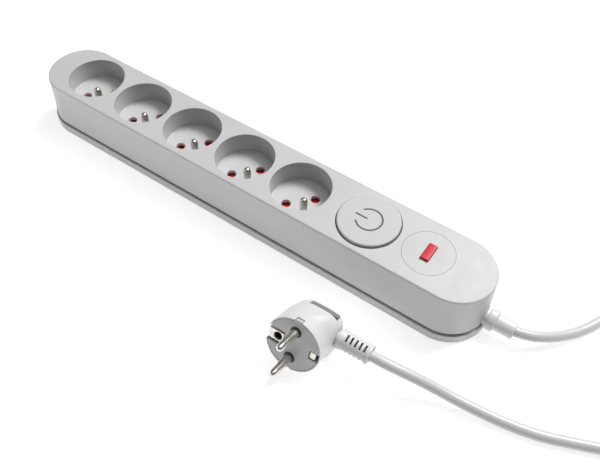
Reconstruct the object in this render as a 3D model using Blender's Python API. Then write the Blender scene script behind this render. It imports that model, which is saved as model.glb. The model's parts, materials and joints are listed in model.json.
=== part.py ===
"""Five-way power strip with a push switch, a pilot light and an angled mains plug.

The strip lies along X with its cord end at +X, stands on Z = 0 and is centred on the origin.
All sizes are in metres.
"""

import bpy
import bmesh
import numpy as np
from math import cos, pi, radians, sin, sqrt
from mathutils import Matrix, Vector

# ---------------------------------------------------------------- driving dimensions
GAP = 0.0003                     # clearance kept between neighbouring pieces

# Case: two stadium-shaped shells
ARC_X = 0.148                    # centre of each round end
CASE_HEIGHT = 0.0398
COVER_TOP_RADIUS = 0.0240        # half the width of the cover just under its top edge
COVER_FOOT_RADIUS = 0.0252       # half the width of the cover at the seam
COVER_FOOT_Z = 0.0082
WALL = 0.0024
TOP_PLATE = 0.0026
BASE_RADIUS = 0.0263
BASE_TOP_Z = 0.0070
BASE_FLOOR = 0.0025
LIP_RADIUS = 0.0225              # upstand of the base that locates inside the cover
LIP_WALL = 0.0018
LIP_TOP_Z = 0.0112
ARC_STEPS = 18                   # sides of each round end

# Sockets
SOCKET_COUNT = 5
SOCKET_PITCH = 0.0437
FIRST_SOCKET_X = -0.1346
RECESS_RADIUS = 0.0195
RECESS_DEPTH = 0.0150
RECESS_FLOOR = 0.0025
WELL_RADIUS = 0.0224
CONTACT_SPACING = 0.0190
EARTH_OFFSET = 0.0100
PIN_RADIUS = 0.0024
PIN_HOLE_RADIUS = 0.00305
EARTH_PIN_HEIGHT = 0.0140
SOCKET_TURN = radians(45)        # direction of the line through the two contact holes

# Shutters and their springs
SHUTTER_HALF_WIDTH = 0.0033
SHUTTER_HALF_LENGTH = 0.0135
SHUTTER_TOP_Z = 0.0220
SHUTTER_BOTTOM_Z = 0.0196
SPRING_STOP_NEAR = 0.0146
SPRING_STOP_FAR = 0.0162

# Push switch
BUTTON_X = 0.0895
BUTTON_COLLAR_Z = 0.0300
BUTTON_RADIUS = 0.0195
BUTTON_PROUD = 0.0018
BUTTON_THICKNESS = 0.0026
BUTTON_SKIRT_Z = 0.0330
BUTTON_BORE_RADIUS = 0.0201
SYMBOL_RADIUS = 0.0081
SYMBOL_LINE = 0.0012
SYMBOL_DEPTH = 0.0004

# Pilot light
PILOT_X = 0.1298
PILOT_PLATE_RADIUS = 0.0158
PILOT_PLATE_THICKNESS = 0.0024
PILOT_COLLAR_Z = 0.0338
PILOT_COLLAR_RADIUS = 0.0180
LENS_LENGTH = 0.0124
LENS_WIDTH = 0.0054
LENS_PROUD = 0.0016

# Bars that join the contacts
BAR_Z = 0.0028
BAR_TOP_Z = 0.0155
BAR_WALL = 0.0006
BAR_HALF_INNER = PIN_RADIUS + GAP
BAR_START_X = -0.1480
BAR_END_X = 0.0520
EARTH_BAR_Z = 0.0175
EARTH_BAR_TOP_Z = 0.0183
EARTH_BAR_HALF = 0.0022

# Screws that hold the case together, seen from above
CASE_SCREWS = [
    (-0.1635, 0.0), (-0.02535, 0.017), (-0.02535, -0.017), (0.1125, 0.017), (0.1125, -0.017),
]
BOSS_RADIUS = 0.0034
SCREW_RADIUS = 0.0014
SCREW_HOLE_RADIUS = 0.00175

# Cord and its way out of the case
CORD_DIAMETER = 0.0068
CORD_Z = 0.0110                  # height of the cord's axis where it leaves the case
EXIT_X = 0.1915                  # mouth of the strain relief
CLAMP_X = 0.1600

# Plug, in its own frame: X along its cord, Y along the line of its pins, Z out of its face
PLUG_PLACE = Vector((0.0940, -0.0856, 0.0208))
PLUG_TURN = (radians(68.4), 0.0, radians(1.5))
PLUG_FACE_RADIUS = 0.0166
PLUG_FACE_BACK = -0.0020
PLUG_RIM_RADIUS = 0.0176
PLUG_PIN_LENGTH = 0.0185
PLUG_GRIP_LEAN = 0.0018          # how far the rear of the hood sits to +Y of the pins' centre
PLUG_NECK_Y = 0.0045
PLUG_NECK_Z = -0.0198
PLUG_NECK_END = 0.0392

# Coil of spare cord, seen from above: the cord enters at one point of the outermost turn and leaves at another
COIL_CENTRE = Vector((0.2955, 0.0320))
COIL_OUTER_TURN = 0.0486         # radius of the outermost turn's axis
COIL_INNER_TURN = 0.0334
COIL_BOTTOM_Z = 0.0012
COIL_TOP_Z = 0.0152
COIL_RIM = CORD_DIAMETER / 2 + GAP
TIE_ANGLE = radians(10)

# Where the free cord lies: points its axis passes through, from the case to the coil and from there to the plug
ROUTE_OUT = [
    (0.1735, 0.0000, 0.0110), (0.1800, 0.0000, 0.0110), (0.1865, 0.0000, 0.0110), (0.1915, 0.0004, 0.0109),
    (0.1963, 0.0018, 0.0105), (0.2008, 0.0039, 0.0098), (0.2050, 0.0069, 0.0089), (0.2122, 0.0138, 0.0067),
    (0.2186, 0.0215, 0.0049), (0.2242, 0.0298, 0.0039), (0.2297, 0.0404, 0.0035), (0.2368, 0.0527, 0.0035),
    (0.2464, 0.0634, 0.0036), (0.2580, 0.0717, 0.0038), (0.2710, 0.0776, 0.0041), (0.2873, 0.0807, 0.0045),
    (0.3038, 0.0799, 0.0047),
]
ROUTE_BACK = [
    (0.3131, -0.0133, 0.0116), (0.3038, -0.0169, 0.0113), (0.2945, -0.0206, 0.0103), (0.2851, -0.0242, 0.0086),
    (0.2758, -0.0278, 0.0067), (0.2665, -0.0315, 0.0051), (0.2575, -0.0350, 0.0040), (0.2415, -0.0415, 0.0035),
    (0.2290, -0.0462, 0.0035), (0.2170, -0.0493, 0.0036), (0.2050, -0.0517, 0.0042), (0.1920, -0.0539, 0.0057),
    (0.1805, -0.0557, 0.0074), (0.1700, -0.0575, 0.0100), (0.1600, -0.0599, 0.0132), (0.1505, -0.0622, 0.0158),
    (0.1410, -0.0639, 0.0173),
]

COLOURS = {
    # name: (red, green, blue, roughness, metallic)
    "case_grey": (0.72, 0.72, 0.72, 0.45, 0.0),
    "shutter_red": (0.55, 0.02, 0.03, 0.40, 0.0),
    "lens_red": (0.80, 0.05, 0.08, 0.20, 0.0),
    "nickel": (0.62, 0.60, 0.56, 0.25, 1.0),
    "brass": (0.72, 0.53, 0.22, 0.30, 1.0),
    "zinc_steel": (0.55, 0.56, 0.58, 0.35, 1.0),
    "switch_black": (0.04, 0.04, 0.04, 0.50, 0.0),
    "inner_plastic": (0.55, 0.54, 0.50, 0.60, 0.0),
    "glass": (0.85, 0.80, 0.75, 0.08, 0.0),
    "resistor_tan": (0.60, 0.45, 0.28, 0.55, 0.0),
    "core_brown": (0.20, 0.08, 0.03, 0.45, 0.0),
    "core_blue": (0.03, 0.12, 0.50, 0.45, 0.0),
    "core_earth": (0.25, 0.50, 0.05, 0.45, 0.0),
    "cord_white": (0.80, 0.80, 0.79, 0.40, 0.0),
    "plug_white": (0.82, 0.82, 0.82, 0.40, 0.0),
    "plug_grey": (0.36, 0.36, 0.38, 0.45, 0.0),
    "tie_grey": (0.10, 0.10, 0.10, 0.80, 0.0),
}

RECESS_FLOOR_Z = CASE_HEIGHT - RECESS_DEPTH
WELL_BOTTOM_Z = RECESS_FLOOR_Z - RECESS_FLOOR
ALONG = Vector((cos(SOCKET_TURN), sin(SOCKET_TURN), 0.0))       # through the contact holes
TO_EARTH = Vector((sin(SOCKET_TURN), -cos(SOCKET_TURN), 0.0))   # towards the earth pin
SOCKET_XS = [FIRST_SOCKET_X + i * SOCKET_PITCH for i in range(SOCKET_COUNT)]


# ---------------------------------------------------------------- helpers
def clear_scene():
    for obj in list(bpy.data.objects):
        bpy.data.objects.remove(obj, do_unlink=True)


def material(name):
    found = bpy.data.materials.get(name)
    if found:
        return found
    red, green, blue, roughness, metallic = COLOURS[name]
    made = bpy.data.materials.new(name)
    made.use_nodes = True
    shader = made.node_tree.nodes["Principled BSDF"]
    shader.inputs["Base Color"].default_value = (red, green, blue, 1.0)
    shader.inputs["Roughness"].default_value = roughness
    shader.inputs["Metallic"].default_value = metallic
    made.diffuse_color = (red, green, blue, 1.0)
    return made


def finish_mesh(name, bm, finish=None):
    """Turn a bmesh into a named object; without a finish it is a cutter or a guide."""
    bmesh.ops.recalc_face_normals(bm, faces=bm.faces)
    mesh = bpy.data.meshes.new(name)
    bm.to_mesh(mesh)
    bm.free()
    mesh.shade_smooth()
    mesh.set_sharp_from_angle(angle=radians(35))
    obj = bpy.data.objects.new(name, mesh)
    bpy.context.scene.collection.objects.link(obj)
    if finish:
        mesh.materials.append(material(finish))
    else:
        obj.hide_render = True
        obj.display_type = "WIRE"
    return obj


def loft_into(bm, rings):
    """Skin closed rings of equal length one after the other, and cap the first and the last."""
    loops = [[bm.verts.new(point) for point in ring] for ring in rings]
    count = len(loops[0])
    for lower, upper in zip(loops, loops[1:]):
        for i in range(count):
            j = (i + 1) % count
            bm.faces.new((lower[i], lower[j], upper[j], upper[i]))
    bm.faces.new(list(reversed(loops[0])))
    bm.faces.new(loops[-1])


def loft(name, rings, finish=None):
    bm = bmesh.new()
    loft_into(bm, rings)
    return finish_mesh(name, bm, finish)


def circle(radius, z, steps, x=0.0, y=0.0):
    turns = [2 * pi * i / steps for i in range(steps)]
    return [Vector((x + radius * cos(t), y + radius * sin(t), z)) for t in turns]


def stadium(radius, z):
    right = [(ARC_X, -pi / 2 + pi * i / ARC_STEPS) for i in range(ARC_STEPS + 1)]
    left = [(-ARC_X, pi / 2 + pi * i / ARC_STEPS) for i in range(ARC_STEPS + 1)]
    return [Vector((x + radius * cos(t), radius * sin(t), z)) for x, t in right + left]


def rods(name, places, profile, steps, finish=None):
    """One upright turned body at each (x, y) place; profile is [(z, radius), ...] going up."""
    bm = bmesh.new()
    for x, y in places:
        loft_into(bm, [circle(radius, z, steps, x, y) for z, radius in profile])
    return finish_mesh(name, bm, finish)


def holes(name, places, low, high, radius, steps):
    """Cutter for one plain round hole at each (x, y) place."""
    return rods(name, places, [(low, radius), (high, radius)], steps)


def lying_rod(name, profile, steps, y, z, finish=None):
    """A body turned about a line along X; profile is [(x, radius), ...]."""
    bm = bmesh.new()
    section = circle(1.0, 0.0, steps)
    rings = [[Vector((x, y + radius * p.x, z + radius * p.y)) for p in section] for x, radius in profile]
    loft_into(bm, rings)
    return finish_mesh(name, bm, finish)


def box_into(bm, low, high, turn=Matrix.Identity(4)):
    size = Vector(high) - Vector(low)
    middle = (Vector(high) + Vector(low)) / 2
    place = turn @ Matrix.Translation(middle) @ Matrix.Diagonal((*size, 1.0))
    bmesh.ops.create_cube(bm, size=1.0, matrix=place)


def box(name, low, high, finish=None, bevel=0.0):
    bm = bmesh.new()
    box_into(bm, low, high)
    if bevel:
        bmesh.ops.bevel(bm, geom=bm.edges[:], offset=bevel, segments=2, profile=0.5, affect="EDGES")
    return finish_mesh(name, bm, finish)


def boolean(target, other, operation="DIFFERENCE"):
    cut = target.modifiers.new(other.name, "BOOLEAN")
    cut.operation = operation
    cut.solver = "EXACT"
    cut.object = other


def boolean_all(target, others, operation="DIFFERENCE"):
    for other in others:
        boolean(target, other, operation)


def smooth_line(points, spacing):
    """Points evenly spaced on the natural cubic spline through the given points."""
    knots = np.array(points, float)
    lengths = np.linalg.norm(np.diff(knots, axis=0), axis=1)
    at = np.concatenate(([0.0], np.cumsum(lengths)))
    count = len(knots)
    system = np.eye(count)
    right = np.zeros_like(knots)
    for i in range(1, count - 1):
        before, after = lengths[i - 1], lengths[i]
        system[i, i - 1:i + 2] = before, 2 * (before + after), after
        right[i] = 6 * ((knots[i + 1] - knots[i]) / after - (knots[i] - knots[i - 1]) / before)
    bend = np.linalg.solve(system, right)

    def value(s):
        i = min(int(np.searchsorted(at, s, side="right")) - 1, count - 2)
        span, u, v = lengths[i], at[i + 1] - s, s - at[i]
        start = (knots[i] / span - bend[i] * span / 6) * u + bend[i] * u ** 3 / (6 * span)
        end = (knots[i + 1] / span - bend[i + 1] * span / 6) * v + bend[i + 1] * v ** 3 / (6 * span)
        return start + end

    fine = np.array([value(s) for s in np.linspace(0.0, at[-1], 40 * count)])
    run = np.concatenate(([0.0], np.cumsum(np.linalg.norm(np.diff(fine, axis=0), axis=1))))
    places = np.linspace(0.0, run[-1], max(2, round(run[-1] / spacing)) + 1)
    return [Vector([np.interp(s, run, fine[:, k]) for k in range(3)]) for s in places]


def tube(name, points, radius, finish, resolution=2):
    curve = bpy.data.curves.new(name, "CURVE")
    curve.dimensions = "3D"
    curve.bevel_depth = radius
    curve.bevel_resolution = resolution
    curve.use_fill_caps = True
    spline = curve.splines.new("POLY")
    spline.points.add(len(points) - 1)
    for spot, point in zip(spline.points, points):
        spot.co = (*point, 1.0)
    curve.materials.append(material(finish))
    obj = bpy.data.objects.new(name, curve)
    bpy.context.scene.collection.objects.link(obj)
    return obj


def helix(start, direction, side, length, radius, turns, steps_per_turn):
    """Points of a coil spring that runs from start along direction."""
    other = direction.cross(side)
    total = turns * steps_per_turn
    points = []
    for i in range(total + 1):
        angle = 2 * pi * i / steps_per_turn
        around = radius * (cos(angle) * side + sin(angle) * other)
        points.append(start + direction * (length * i / total) + around)
    return points


# ---------------------------------------------------------------- case
def contact_places():
    half = CONTACT_SPACING / 2
    return [(x + s * half * ALONG.x, s * half * ALONG.y) for x in SOCKET_XS for s in (-1, 1)]


def earth_places():
    return [(x + EARTH_OFFSET * TO_EARTH.x, EARTH_OFFSET * TO_EARTH.y) for x in SOCKET_XS]


def make_top_cover():
    edge = 0.0012
    cover = loft("top_cover", [
        stadium(COVER_FOOT_RADIUS, COVER_FOOT_Z),
        stadium(COVER_TOP_RADIUS, CASE_HEIGHT - edge),
        stadium(COVER_TOP_RADIUS - 0.3 * edge, CASE_HEIGHT - 0.3 * edge),
        stadium(COVER_TOP_RADIUS - edge, CASE_HEIGHT),
    ], "case_grey")

    ceiling = CASE_HEIGHT - TOP_PLATE
    above = ceiling + 0.001
    hollow = loft("cover_hollow", [
        stadium(COVER_FOOT_RADIUS - WALL, COVER_FOOT_Z - 0.001),
        stadium(COVER_TOP_RADIUS - WALL, ceiling),
    ])
    # What stays standing inside the hollow: the wells, two collars, the screw bosses and the spring stops.
    blocks = [(f"well_{i + 1}_block", x, WELL_BOTTOM_Z, WELL_RADIUS) for i, x in enumerate(SOCKET_XS)]
    blocks.append(("button_collar_block", BUTTON_X, BUTTON_COLLAR_Z, WELL_RADIUS))
    blocks.append(("pilot_collar_block", PILOT_X, PILOT_COLLAR_Z, PILOT_COLLAR_RADIUS))
    for name, x, low, radius in blocks:
        boolean(hollow, rods(name, [(x, 0.0)], [(low, radius), (above, radius)], 24))
    boolean(hollow, rods("boss_block", CASE_SCREWS, [(0.0064, BOSS_RADIUS), (above, BOSS_RADIUS)], 10))
    stops = bmesh.new()
    for x in SOCKET_XS:
        turn = Matrix.Translation((x, 0.0, 0.0)) @ Matrix.Rotation(SOCKET_TURN, 4, "Z")
        box_into(stops, (-0.004, SPRING_STOP_NEAR, SHUTTER_BOTTOM_Z),
                 (0.004, SPRING_STOP_FAR, WELL_BOTTOM_Z + 0.001), turn)
    boolean(hollow, finish_mesh("spring_stop_blocks", stops))

    over = CASE_HEIGHT + 0.002
    plate_seat = CASE_HEIGHT - PILOT_PLATE_THICKNESS - 0.0001
    boolean_all(cover, [
        hollow,
        holes("recesses", [(x, 0.0) for x in SOCKET_XS], RECESS_FLOOR_Z, over, RECESS_RADIUS, 32),
        holes("contact_holes", contact_places(), 0.0180, 0.0260, PIN_HOLE_RADIUS, 14),
        holes("earth_holes", earth_places(), 0.0180, 0.0260, PIN_RADIUS + 2 * GAP, 12),
        holes("button_bore", [(BUTTON_X, 0.0)], 0.0280, over, BUTTON_BORE_RADIUS, 40),
        rods("pilot_bore", [(PILOT_X, 0.0)], [
            (0.0300, 0.0140), (plate_seat, 0.0140),
            (plate_seat, PILOT_PLATE_RADIUS + GAP), (over, PILOT_PLATE_RADIUS + GAP),
        ], 32),
        holes("cover_screw_holes", CASE_SCREWS, 0.0050, 0.0190, SCREW_HOLE_RADIUS, 8),
        lying_rod("cover_cord_hole", [(0.1660, 0.0059), (0.1780, 0.0059)], 20, 0.0, CORD_Z),
    ])


def make_base_shell():
    inner = LIP_RADIUS - LIP_WALL
    base = loft("base_shell", [
        stadium(BASE_RADIUS - 0.0010, 0.0),
        stadium(BASE_RADIUS, 0.0010),
        stadium(BASE_RADIUS, BASE_TOP_Z - 0.0004),
        stadium(BASE_RADIUS - 0.0004, BASE_TOP_Z),
        stadium(LIP_RADIUS, BASE_TOP_Z),
        stadium(LIP_RADIUS, LIP_TOP_Z),
        stadium(inner, LIP_TOP_Z),
        stadium(inner, BASE_FLOOR),
    ], "case_grey")
    sunk = BASE_FLOOR - 0.0005
    clamp_screws = clamp_places()
    boolean(base, rods("base_pillars", CASE_SCREWS, [(sunk, 0.0044), (0.0060, 0.0044)], 12), "UNION")
    boolean(base, rods("clamp_posts", clamp_screws, [(sunk, 0.0036), (0.0143, 0.0036)], 12), "UNION")
    boolean(base, box("cord_saddle", (CLAMP_X - 0.003, -0.006, sunk), (CLAMP_X + 0.003, 0.006, 0.0072)), "UNION")
    boolean_all(base, [
        rods("base_screw_holes", CASE_SCREWS, [
            (-0.0010, 0.0034), (0.0034, 0.0034), (0.0034, SCREW_HOLE_RADIUS), (0.0070, SCREW_HOLE_RADIUS),
        ], 12),
        holes("clamp_screw_holes", clamp_screws, 0.0070, 0.0160, 0.0015, 8),
        lying_rod("base_cord_notch", [(0.1640, 0.0077), (0.1712, 0.0077), (0.1712, 0.0059), (0.1780, 0.0059)],
                  20, 0.0, CORD_Z),
    ])


# ---------------------------------------------------------------- sockets
def make_sockets():
    pin_tip = RECESS_FLOOR_Z + EARTH_PIN_HEIGHT
    pin_profile = [
        (EARTH_BAR_Z - 0.0010, 0.0015), (EARTH_BAR_TOP_Z + GAP, 0.0015),
        (EARTH_BAR_TOP_Z + GAP, PIN_RADIUS), (0.0202, PIN_RADIUS),
        (0.0202, 0.0044), (SHUTTER_TOP_Z, 0.0044),
        (SHUTTER_TOP_Z, PIN_RADIUS), (pin_tip - 0.0020, PIN_RADIUS),
        (pin_tip - 0.0008, 0.8 * PIN_RADIUS), (pin_tip - 0.0002, 0.5 * PIN_RADIUS), (pin_tip, 0.2 * PIN_RADIUS),
    ]
    away = -TO_EARTH
    spring_start = SHUTTER_HALF_WIDTH + GAP
    spring_z = (SHUTTER_TOP_Z + SHUTTER_BOTTOM_Z) / 2
    wire = 0.00025
    for i, x in enumerate(SOCKET_XS):
        number = i + 1
        centre = Vector((x, 0.0, 0.0))
        rods(f"earth_pin_{number}", [earth_places()[i]], pin_profile, 12, "nickel")

        turn = Matrix.Translation(centre) @ Matrix.Rotation(SOCKET_TURN, 4, "Z")
        body = bmesh.new()
        box_into(body, (-SHUTTER_HALF_LENGTH, -SHUTTER_HALF_WIDTH, SHUTTER_BOTTOM_Z),
                 (SHUTTER_HALF_LENGTH, SHUTTER_HALF_WIDTH, SHUTTER_TOP_Z), turn)
        bmesh.ops.bevel(body, geom=body.edges[:], offset=0.0006, segments=1, affect="EDGES")
        finish_mesh(f"shutter_{number}", body, "shutter_red")

        start = centre + away * (spring_start + wire) + Vector((0.0, 0.0, spring_z))
        length = SPRING_STOP_NEAR - GAP - spring_start - 2 * wire
        coil = helix(start, away, Vector((0.0, 0.0, 1.0)), length, 0.0009, 4, 7)
        tube(f"shutter_spring_{number}", coil, wire, "zinc_steel", 0)


def make_shutter_plate():
    low, high = SHUTTER_BOTTOM_Z - GAP - 0.0007, SHUTTER_BOTTOM_Z - GAP
    plate = box("shutter_plate", (-0.1560, -0.0132, low), (0.0620, 0.0132, high), "inner_plastic")
    under, over = low - 0.001, high + 0.001
    boolean_all(plate, [
        holes("plate_contact_holes", contact_places(), under, over, PIN_HOLE_RADIUS, 8),
        holes("plate_earth_holes", earth_places(), under, over, 0.0030, 8),
    ])


def make_bars():
    contact_y = CONTACT_SPACING / 2 * ALONG.y
    outer = BAR_HALF_INNER + BAR_WALL
    for name, y in (("line_bar", -contact_y), ("neutral_bar", contact_y)):
        section = [(y - outer, BAR_TOP_Z), (y - outer, BAR_Z), (y + outer, BAR_Z), (y + outer, BAR_TOP_Z),
                   (y + BAR_HALF_INNER, BAR_TOP_Z), (y + BAR_HALF_INNER, BAR_Z + BAR_WALL),
                   (y - BAR_HALF_INNER, BAR_Z + BAR_WALL), (y - BAR_HALF_INNER, BAR_TOP_Z)]
        loft(name, [[Vector((x, a, b)) for a, b in section] for x in (BAR_START_X, BAR_END_X)], "brass")

    first, last = SOCKET_XS[0] - 0.004, BAR_END_X + 0.006
    half = EARTH_BAR_HALF
    outline = [(last, half), (first, half), (first, -half)]
    for x, y in earth_places():
        outline += [(x - 0.0028, -half), (x - 0.0028, y - 0.0036), (x + 0.0028, y - 0.0036), (x + 0.0028, -half)]
    outline.append((last, -half))
    levels = (EARTH_BAR_Z, EARTH_BAR_TOP_Z)
    bar = loft("earth_bar", [[Vector((x, y, z)) for x, y in outline] for z in levels], "brass")
    boolean(bar, holes("earth_bar_holes", earth_places(), 0.0170, 0.0190, 0.0019, 8))


# ---------------------------------------------------------------- switch and pilot light
def make_button():
    top = CASE_HEIGHT + BUTTON_PROUD
    edge = 0.0010
    button = rods("power_button", [(BUTTON_X, 0.0)], [
        (BUTTON_SKIRT_Z, BUTTON_RADIUS), (top - edge, BUTTON_RADIUS),
        (top - 0.3 * edge, BUTTON_RADIUS - 0.3 * edge), (top, BUTTON_RADIUS - edge),
    ], 40, "case_grey")
    symbol = bmesh.new()
    steps, gap_angle = 20, radians(38)
    low, high = top - SYMBOL_DEPTH, top + 0.001
    inner, outer = SYMBOL_RADIUS - SYMBOL_LINE / 2, SYMBOL_RADIUS + SYMBOL_LINE / 2
    rings = []
    for i in range(steps + 1):
        angle = pi + gap_angle + (2 * pi - 2 * gap_angle) * i / steps
        rings.append([Vector((BUTTON_X + r * cos(angle), r * sin(angle), z))
                      for r, z in ((inner, low), (outer, low), (outer, high), (inner, high))])
    loft_into(symbol, rings)
    box_into(symbol, (BUTTON_X - SYMBOL_RADIUS - 0.0012, -SYMBOL_LINE / 2, low),
             (BUTTON_X - 0.0015, SYMBOL_LINE / 2, high))
    low, high = BUTTON_SKIRT_Z - 0.001, top - BUTTON_THICKNESS
    hollow = holes("button_hollow", [(BUTTON_X, 0.0)], low, high, 0.0180, 28)
    boolean_all(button, [hollow, finish_mesh("symbol_groove", symbol)])


def make_switch():
    body_top, head_z = 0.0240, 0.0355
    top = CASE_HEIGHT + BUTTON_PROUD - BUTTON_THICKNESS
    body = box("switch_body", (0.0765, -0.0088, 0.0028), (0.1025, 0.0088, body_top), "switch_black", 0.0008)
    boolean(body, holes("plunger_bore", [(BUTTON_X, 0.0)], 0.0140, body_top + 0.002, 0.0043, 16))
    rods("switch_plunger", [(BUTTON_X, 0.0)], [
        (0.0190, 0.0040), (head_z, 0.0040), (head_z, 0.0080), (top - GAP, 0.0080),
    ], 16, "inner_plastic")
    wire = 0.0004
    start = Vector((BUTTON_X, 0.0, body_top + GAP + wire))
    length = head_z - GAP - wire - start.z
    coil = helix(start, Vector((0.0, 0.0, 1.0)), Vector((1.0, 0.0, 0.0)), length, 0.0060, 4, 10)
    tube("switch_spring", coil, wire, "zinc_steel", 0)
    for name, x, y in (("switch_terminal_in", 0.1028, 0.0), ("switch_terminal_out", 0.0702, -0.0030)):
        box(name, (x, y - 0.0024, 0.0060), (x + 0.0060, y + 0.0024, 0.0068), "brass")


def make_pilot():
    low = CASE_HEIGHT - PILOT_PLATE_THICKNESS
    plate = rods("pilot_plate", [(PILOT_X, 0.0)], [
        (low, PILOT_PLATE_RADIUS), (CASE_HEIGHT - 0.0003, PILOT_PLATE_RADIUS),
        (CASE_HEIGHT, PILOT_PLATE_RADIUS - 0.0003),
    ], 32, "case_grey")
    hx, hy = LENS_WIDTH / 2, LENS_LENGTH / 2
    boolean(plate, box("lens_window", (PILOT_X - hx - GAP, -hy - GAP, low - 0.001),
                       (PILOT_X + hx + GAP, hy + GAP, CASE_HEIGHT + 0.001)))

    def lens_ring(x, y, z):
        return [Vector((PILOT_X + sx * x, sy * y, z)) for sx, sy in ((-1, -1), (1, -1), (1, 1), (-1, 1))]

    loft("pilot_lens", [
        lens_ring(hx + 0.0010, hy + 0.0010, low - GAP - 0.0010), lens_ring(hx + 0.0010, hy + 0.0010, low - GAP),
        lens_ring(hx, hy, low - GAP), lens_ring(hx, hy, CASE_HEIGHT + LENS_PROUD - 0.0005),
        lens_ring(hx - 0.0005, hy - 0.0005, CASE_HEIGHT + LENS_PROUD),
    ], "lens_red")
    for name, radius, z, half, finish in (
        ("neon_lamp", 0.0021, 0.0325, 0.0050, "glass"),
        ("lamp_resistor", 0.0012, 0.0282, 0.0034, "resistor_tan"),
    ):
        rounded = 0.0010
        end = half - rounded
        profile = [(-half, 0.5 * radius), (-end, radius), (end, radius), (half, 0.5 * radius)]
        rings = [[Vector((PILOT_X + p.x, y, z + p.y)) for p in circle(r, 0.0, 8)] for y, r in profile]
        loft(name, rings, finish)


# ---------------------------------------------------------------- cord entry, screws and cores
def clamp_places():
    return [(CLAMP_X, 0.0084), (CLAMP_X, -0.0084)]


def make_cord_entry():
    relief = lying_rod("strain_relief", [
        (0.1668, 0.0072), (0.1688, 0.0072), (0.1688, 0.0056), (0.1746, 0.0056),
        (0.1746, 0.0066), (0.1750, 0.0070), (0.1792, 0.0070), (0.1796, 0.0066),
        (0.1796, 0.0056), (EXIT_X - 0.0004, 0.0053), (EXIT_X, 0.0050),
    ], 20, 0.0, CORD_Z, "plug_white")
    bore = CORD_DIAMETER / 2 + 2 * GAP
    flared = [(0.1650, bore), (0.1800, bore), (EXIT_X + 0.0005, 0.0047)]
    boolean(relief, lying_rod("relief_bore", flared, 20, 0.0, CORD_Z))
    inside = [(0.1500, CORD_DIAMETER / 2), (0.1732, CORD_DIAMETER / 2)]
    lying_rod("cable_tail", inside, 12, 0.0, CORD_Z, "cord_white")

    low, high = (CLAMP_X - 0.003, -0.0120, 0.0148), (CLAMP_X + 0.003, 0.0120, 0.0172)
    clamp = box("cable_clamp", low, high, "inner_plastic", 0.0004)
    boolean(clamp, holes("clamp_holes", clamp_places(), 0.0140, 0.0180, 0.0015, 8))
    for i, place in enumerate(clamp_places()):
        rods(f"clamp_screw_{i + 1}", [place], [
            (0.0080, 0.0008), (0.0090, 0.0012), (0.0175, 0.0012),
            (0.0175, 0.0025), (0.0190, 0.0025), (0.0194, 0.0018),
        ], 10, "zinc_steel")


def make_case_screws():
    for i, place in enumerate(CASE_SCREWS):
        rods(f"case_screw_{i + 1}", [place], [
            (0.0006, 0.0026), (0.0010, 0.0030), (0.0031, 0.0030), (0.0031, SCREW_RADIUS),
            (0.0150, SCREW_RADIUS), (0.0170, 0.0004),
        ], 10, "zinc_steel")


def make_cores():
    radius = 0.0011
    routes = {
        "line_core": ("core_brown", [
            (0.1494, -0.0018, 0.0100), (0.1380, -0.0030, 0.0095), (0.1250, -0.0030, 0.0085),
            (0.1145, -0.0010, 0.0082)]),
        "neutral_core": ("core_blue", [
            (0.1494, 0.0018, 0.0100), (0.1360, 0.0050, 0.0095), (0.1220, 0.0095, 0.0095),
            (0.1050, 0.0110, 0.0095), (0.0800, 0.0110, 0.0095), (0.0660, 0.0095, 0.0095),
            (0.0560, 0.0070, 0.0095)]),
        "earth_core": ("core_earth", [
            (0.1494, 0.0000, 0.0130), (0.1360, -0.0050, 0.0125), (0.1220, -0.0095, 0.0120),
            (0.1050, -0.0110, 0.0120), (0.0840, -0.0110, 0.0125), (0.0710, -0.0080, 0.0145),
            (0.0640, -0.0030, 0.0165), (0.0600, -0.0010, 0.0170)]),
        "switched_core": ("core_brown", [
            (0.0698, -0.0035, 0.0066), (0.0650, -0.0045, 0.0070), (0.0600, -0.0060, 0.0075),
            (0.0545, -0.0067, 0.0080)]),
    }
    for name, (finish, points) in routes.items():
        tube(name, smooth_line(points, 0.0060), radius, finish, 0)


# ---------------------------------------------------------------- free cord
def clear_of_coil(point):
    """Whether a tube centred here stays off the coil's solid, which it meets side by side."""
    away = (point.xy - COIL_CENTRE).length
    return away > COIL_OUTER_TURN + 2 * COIL_RIM


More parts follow.
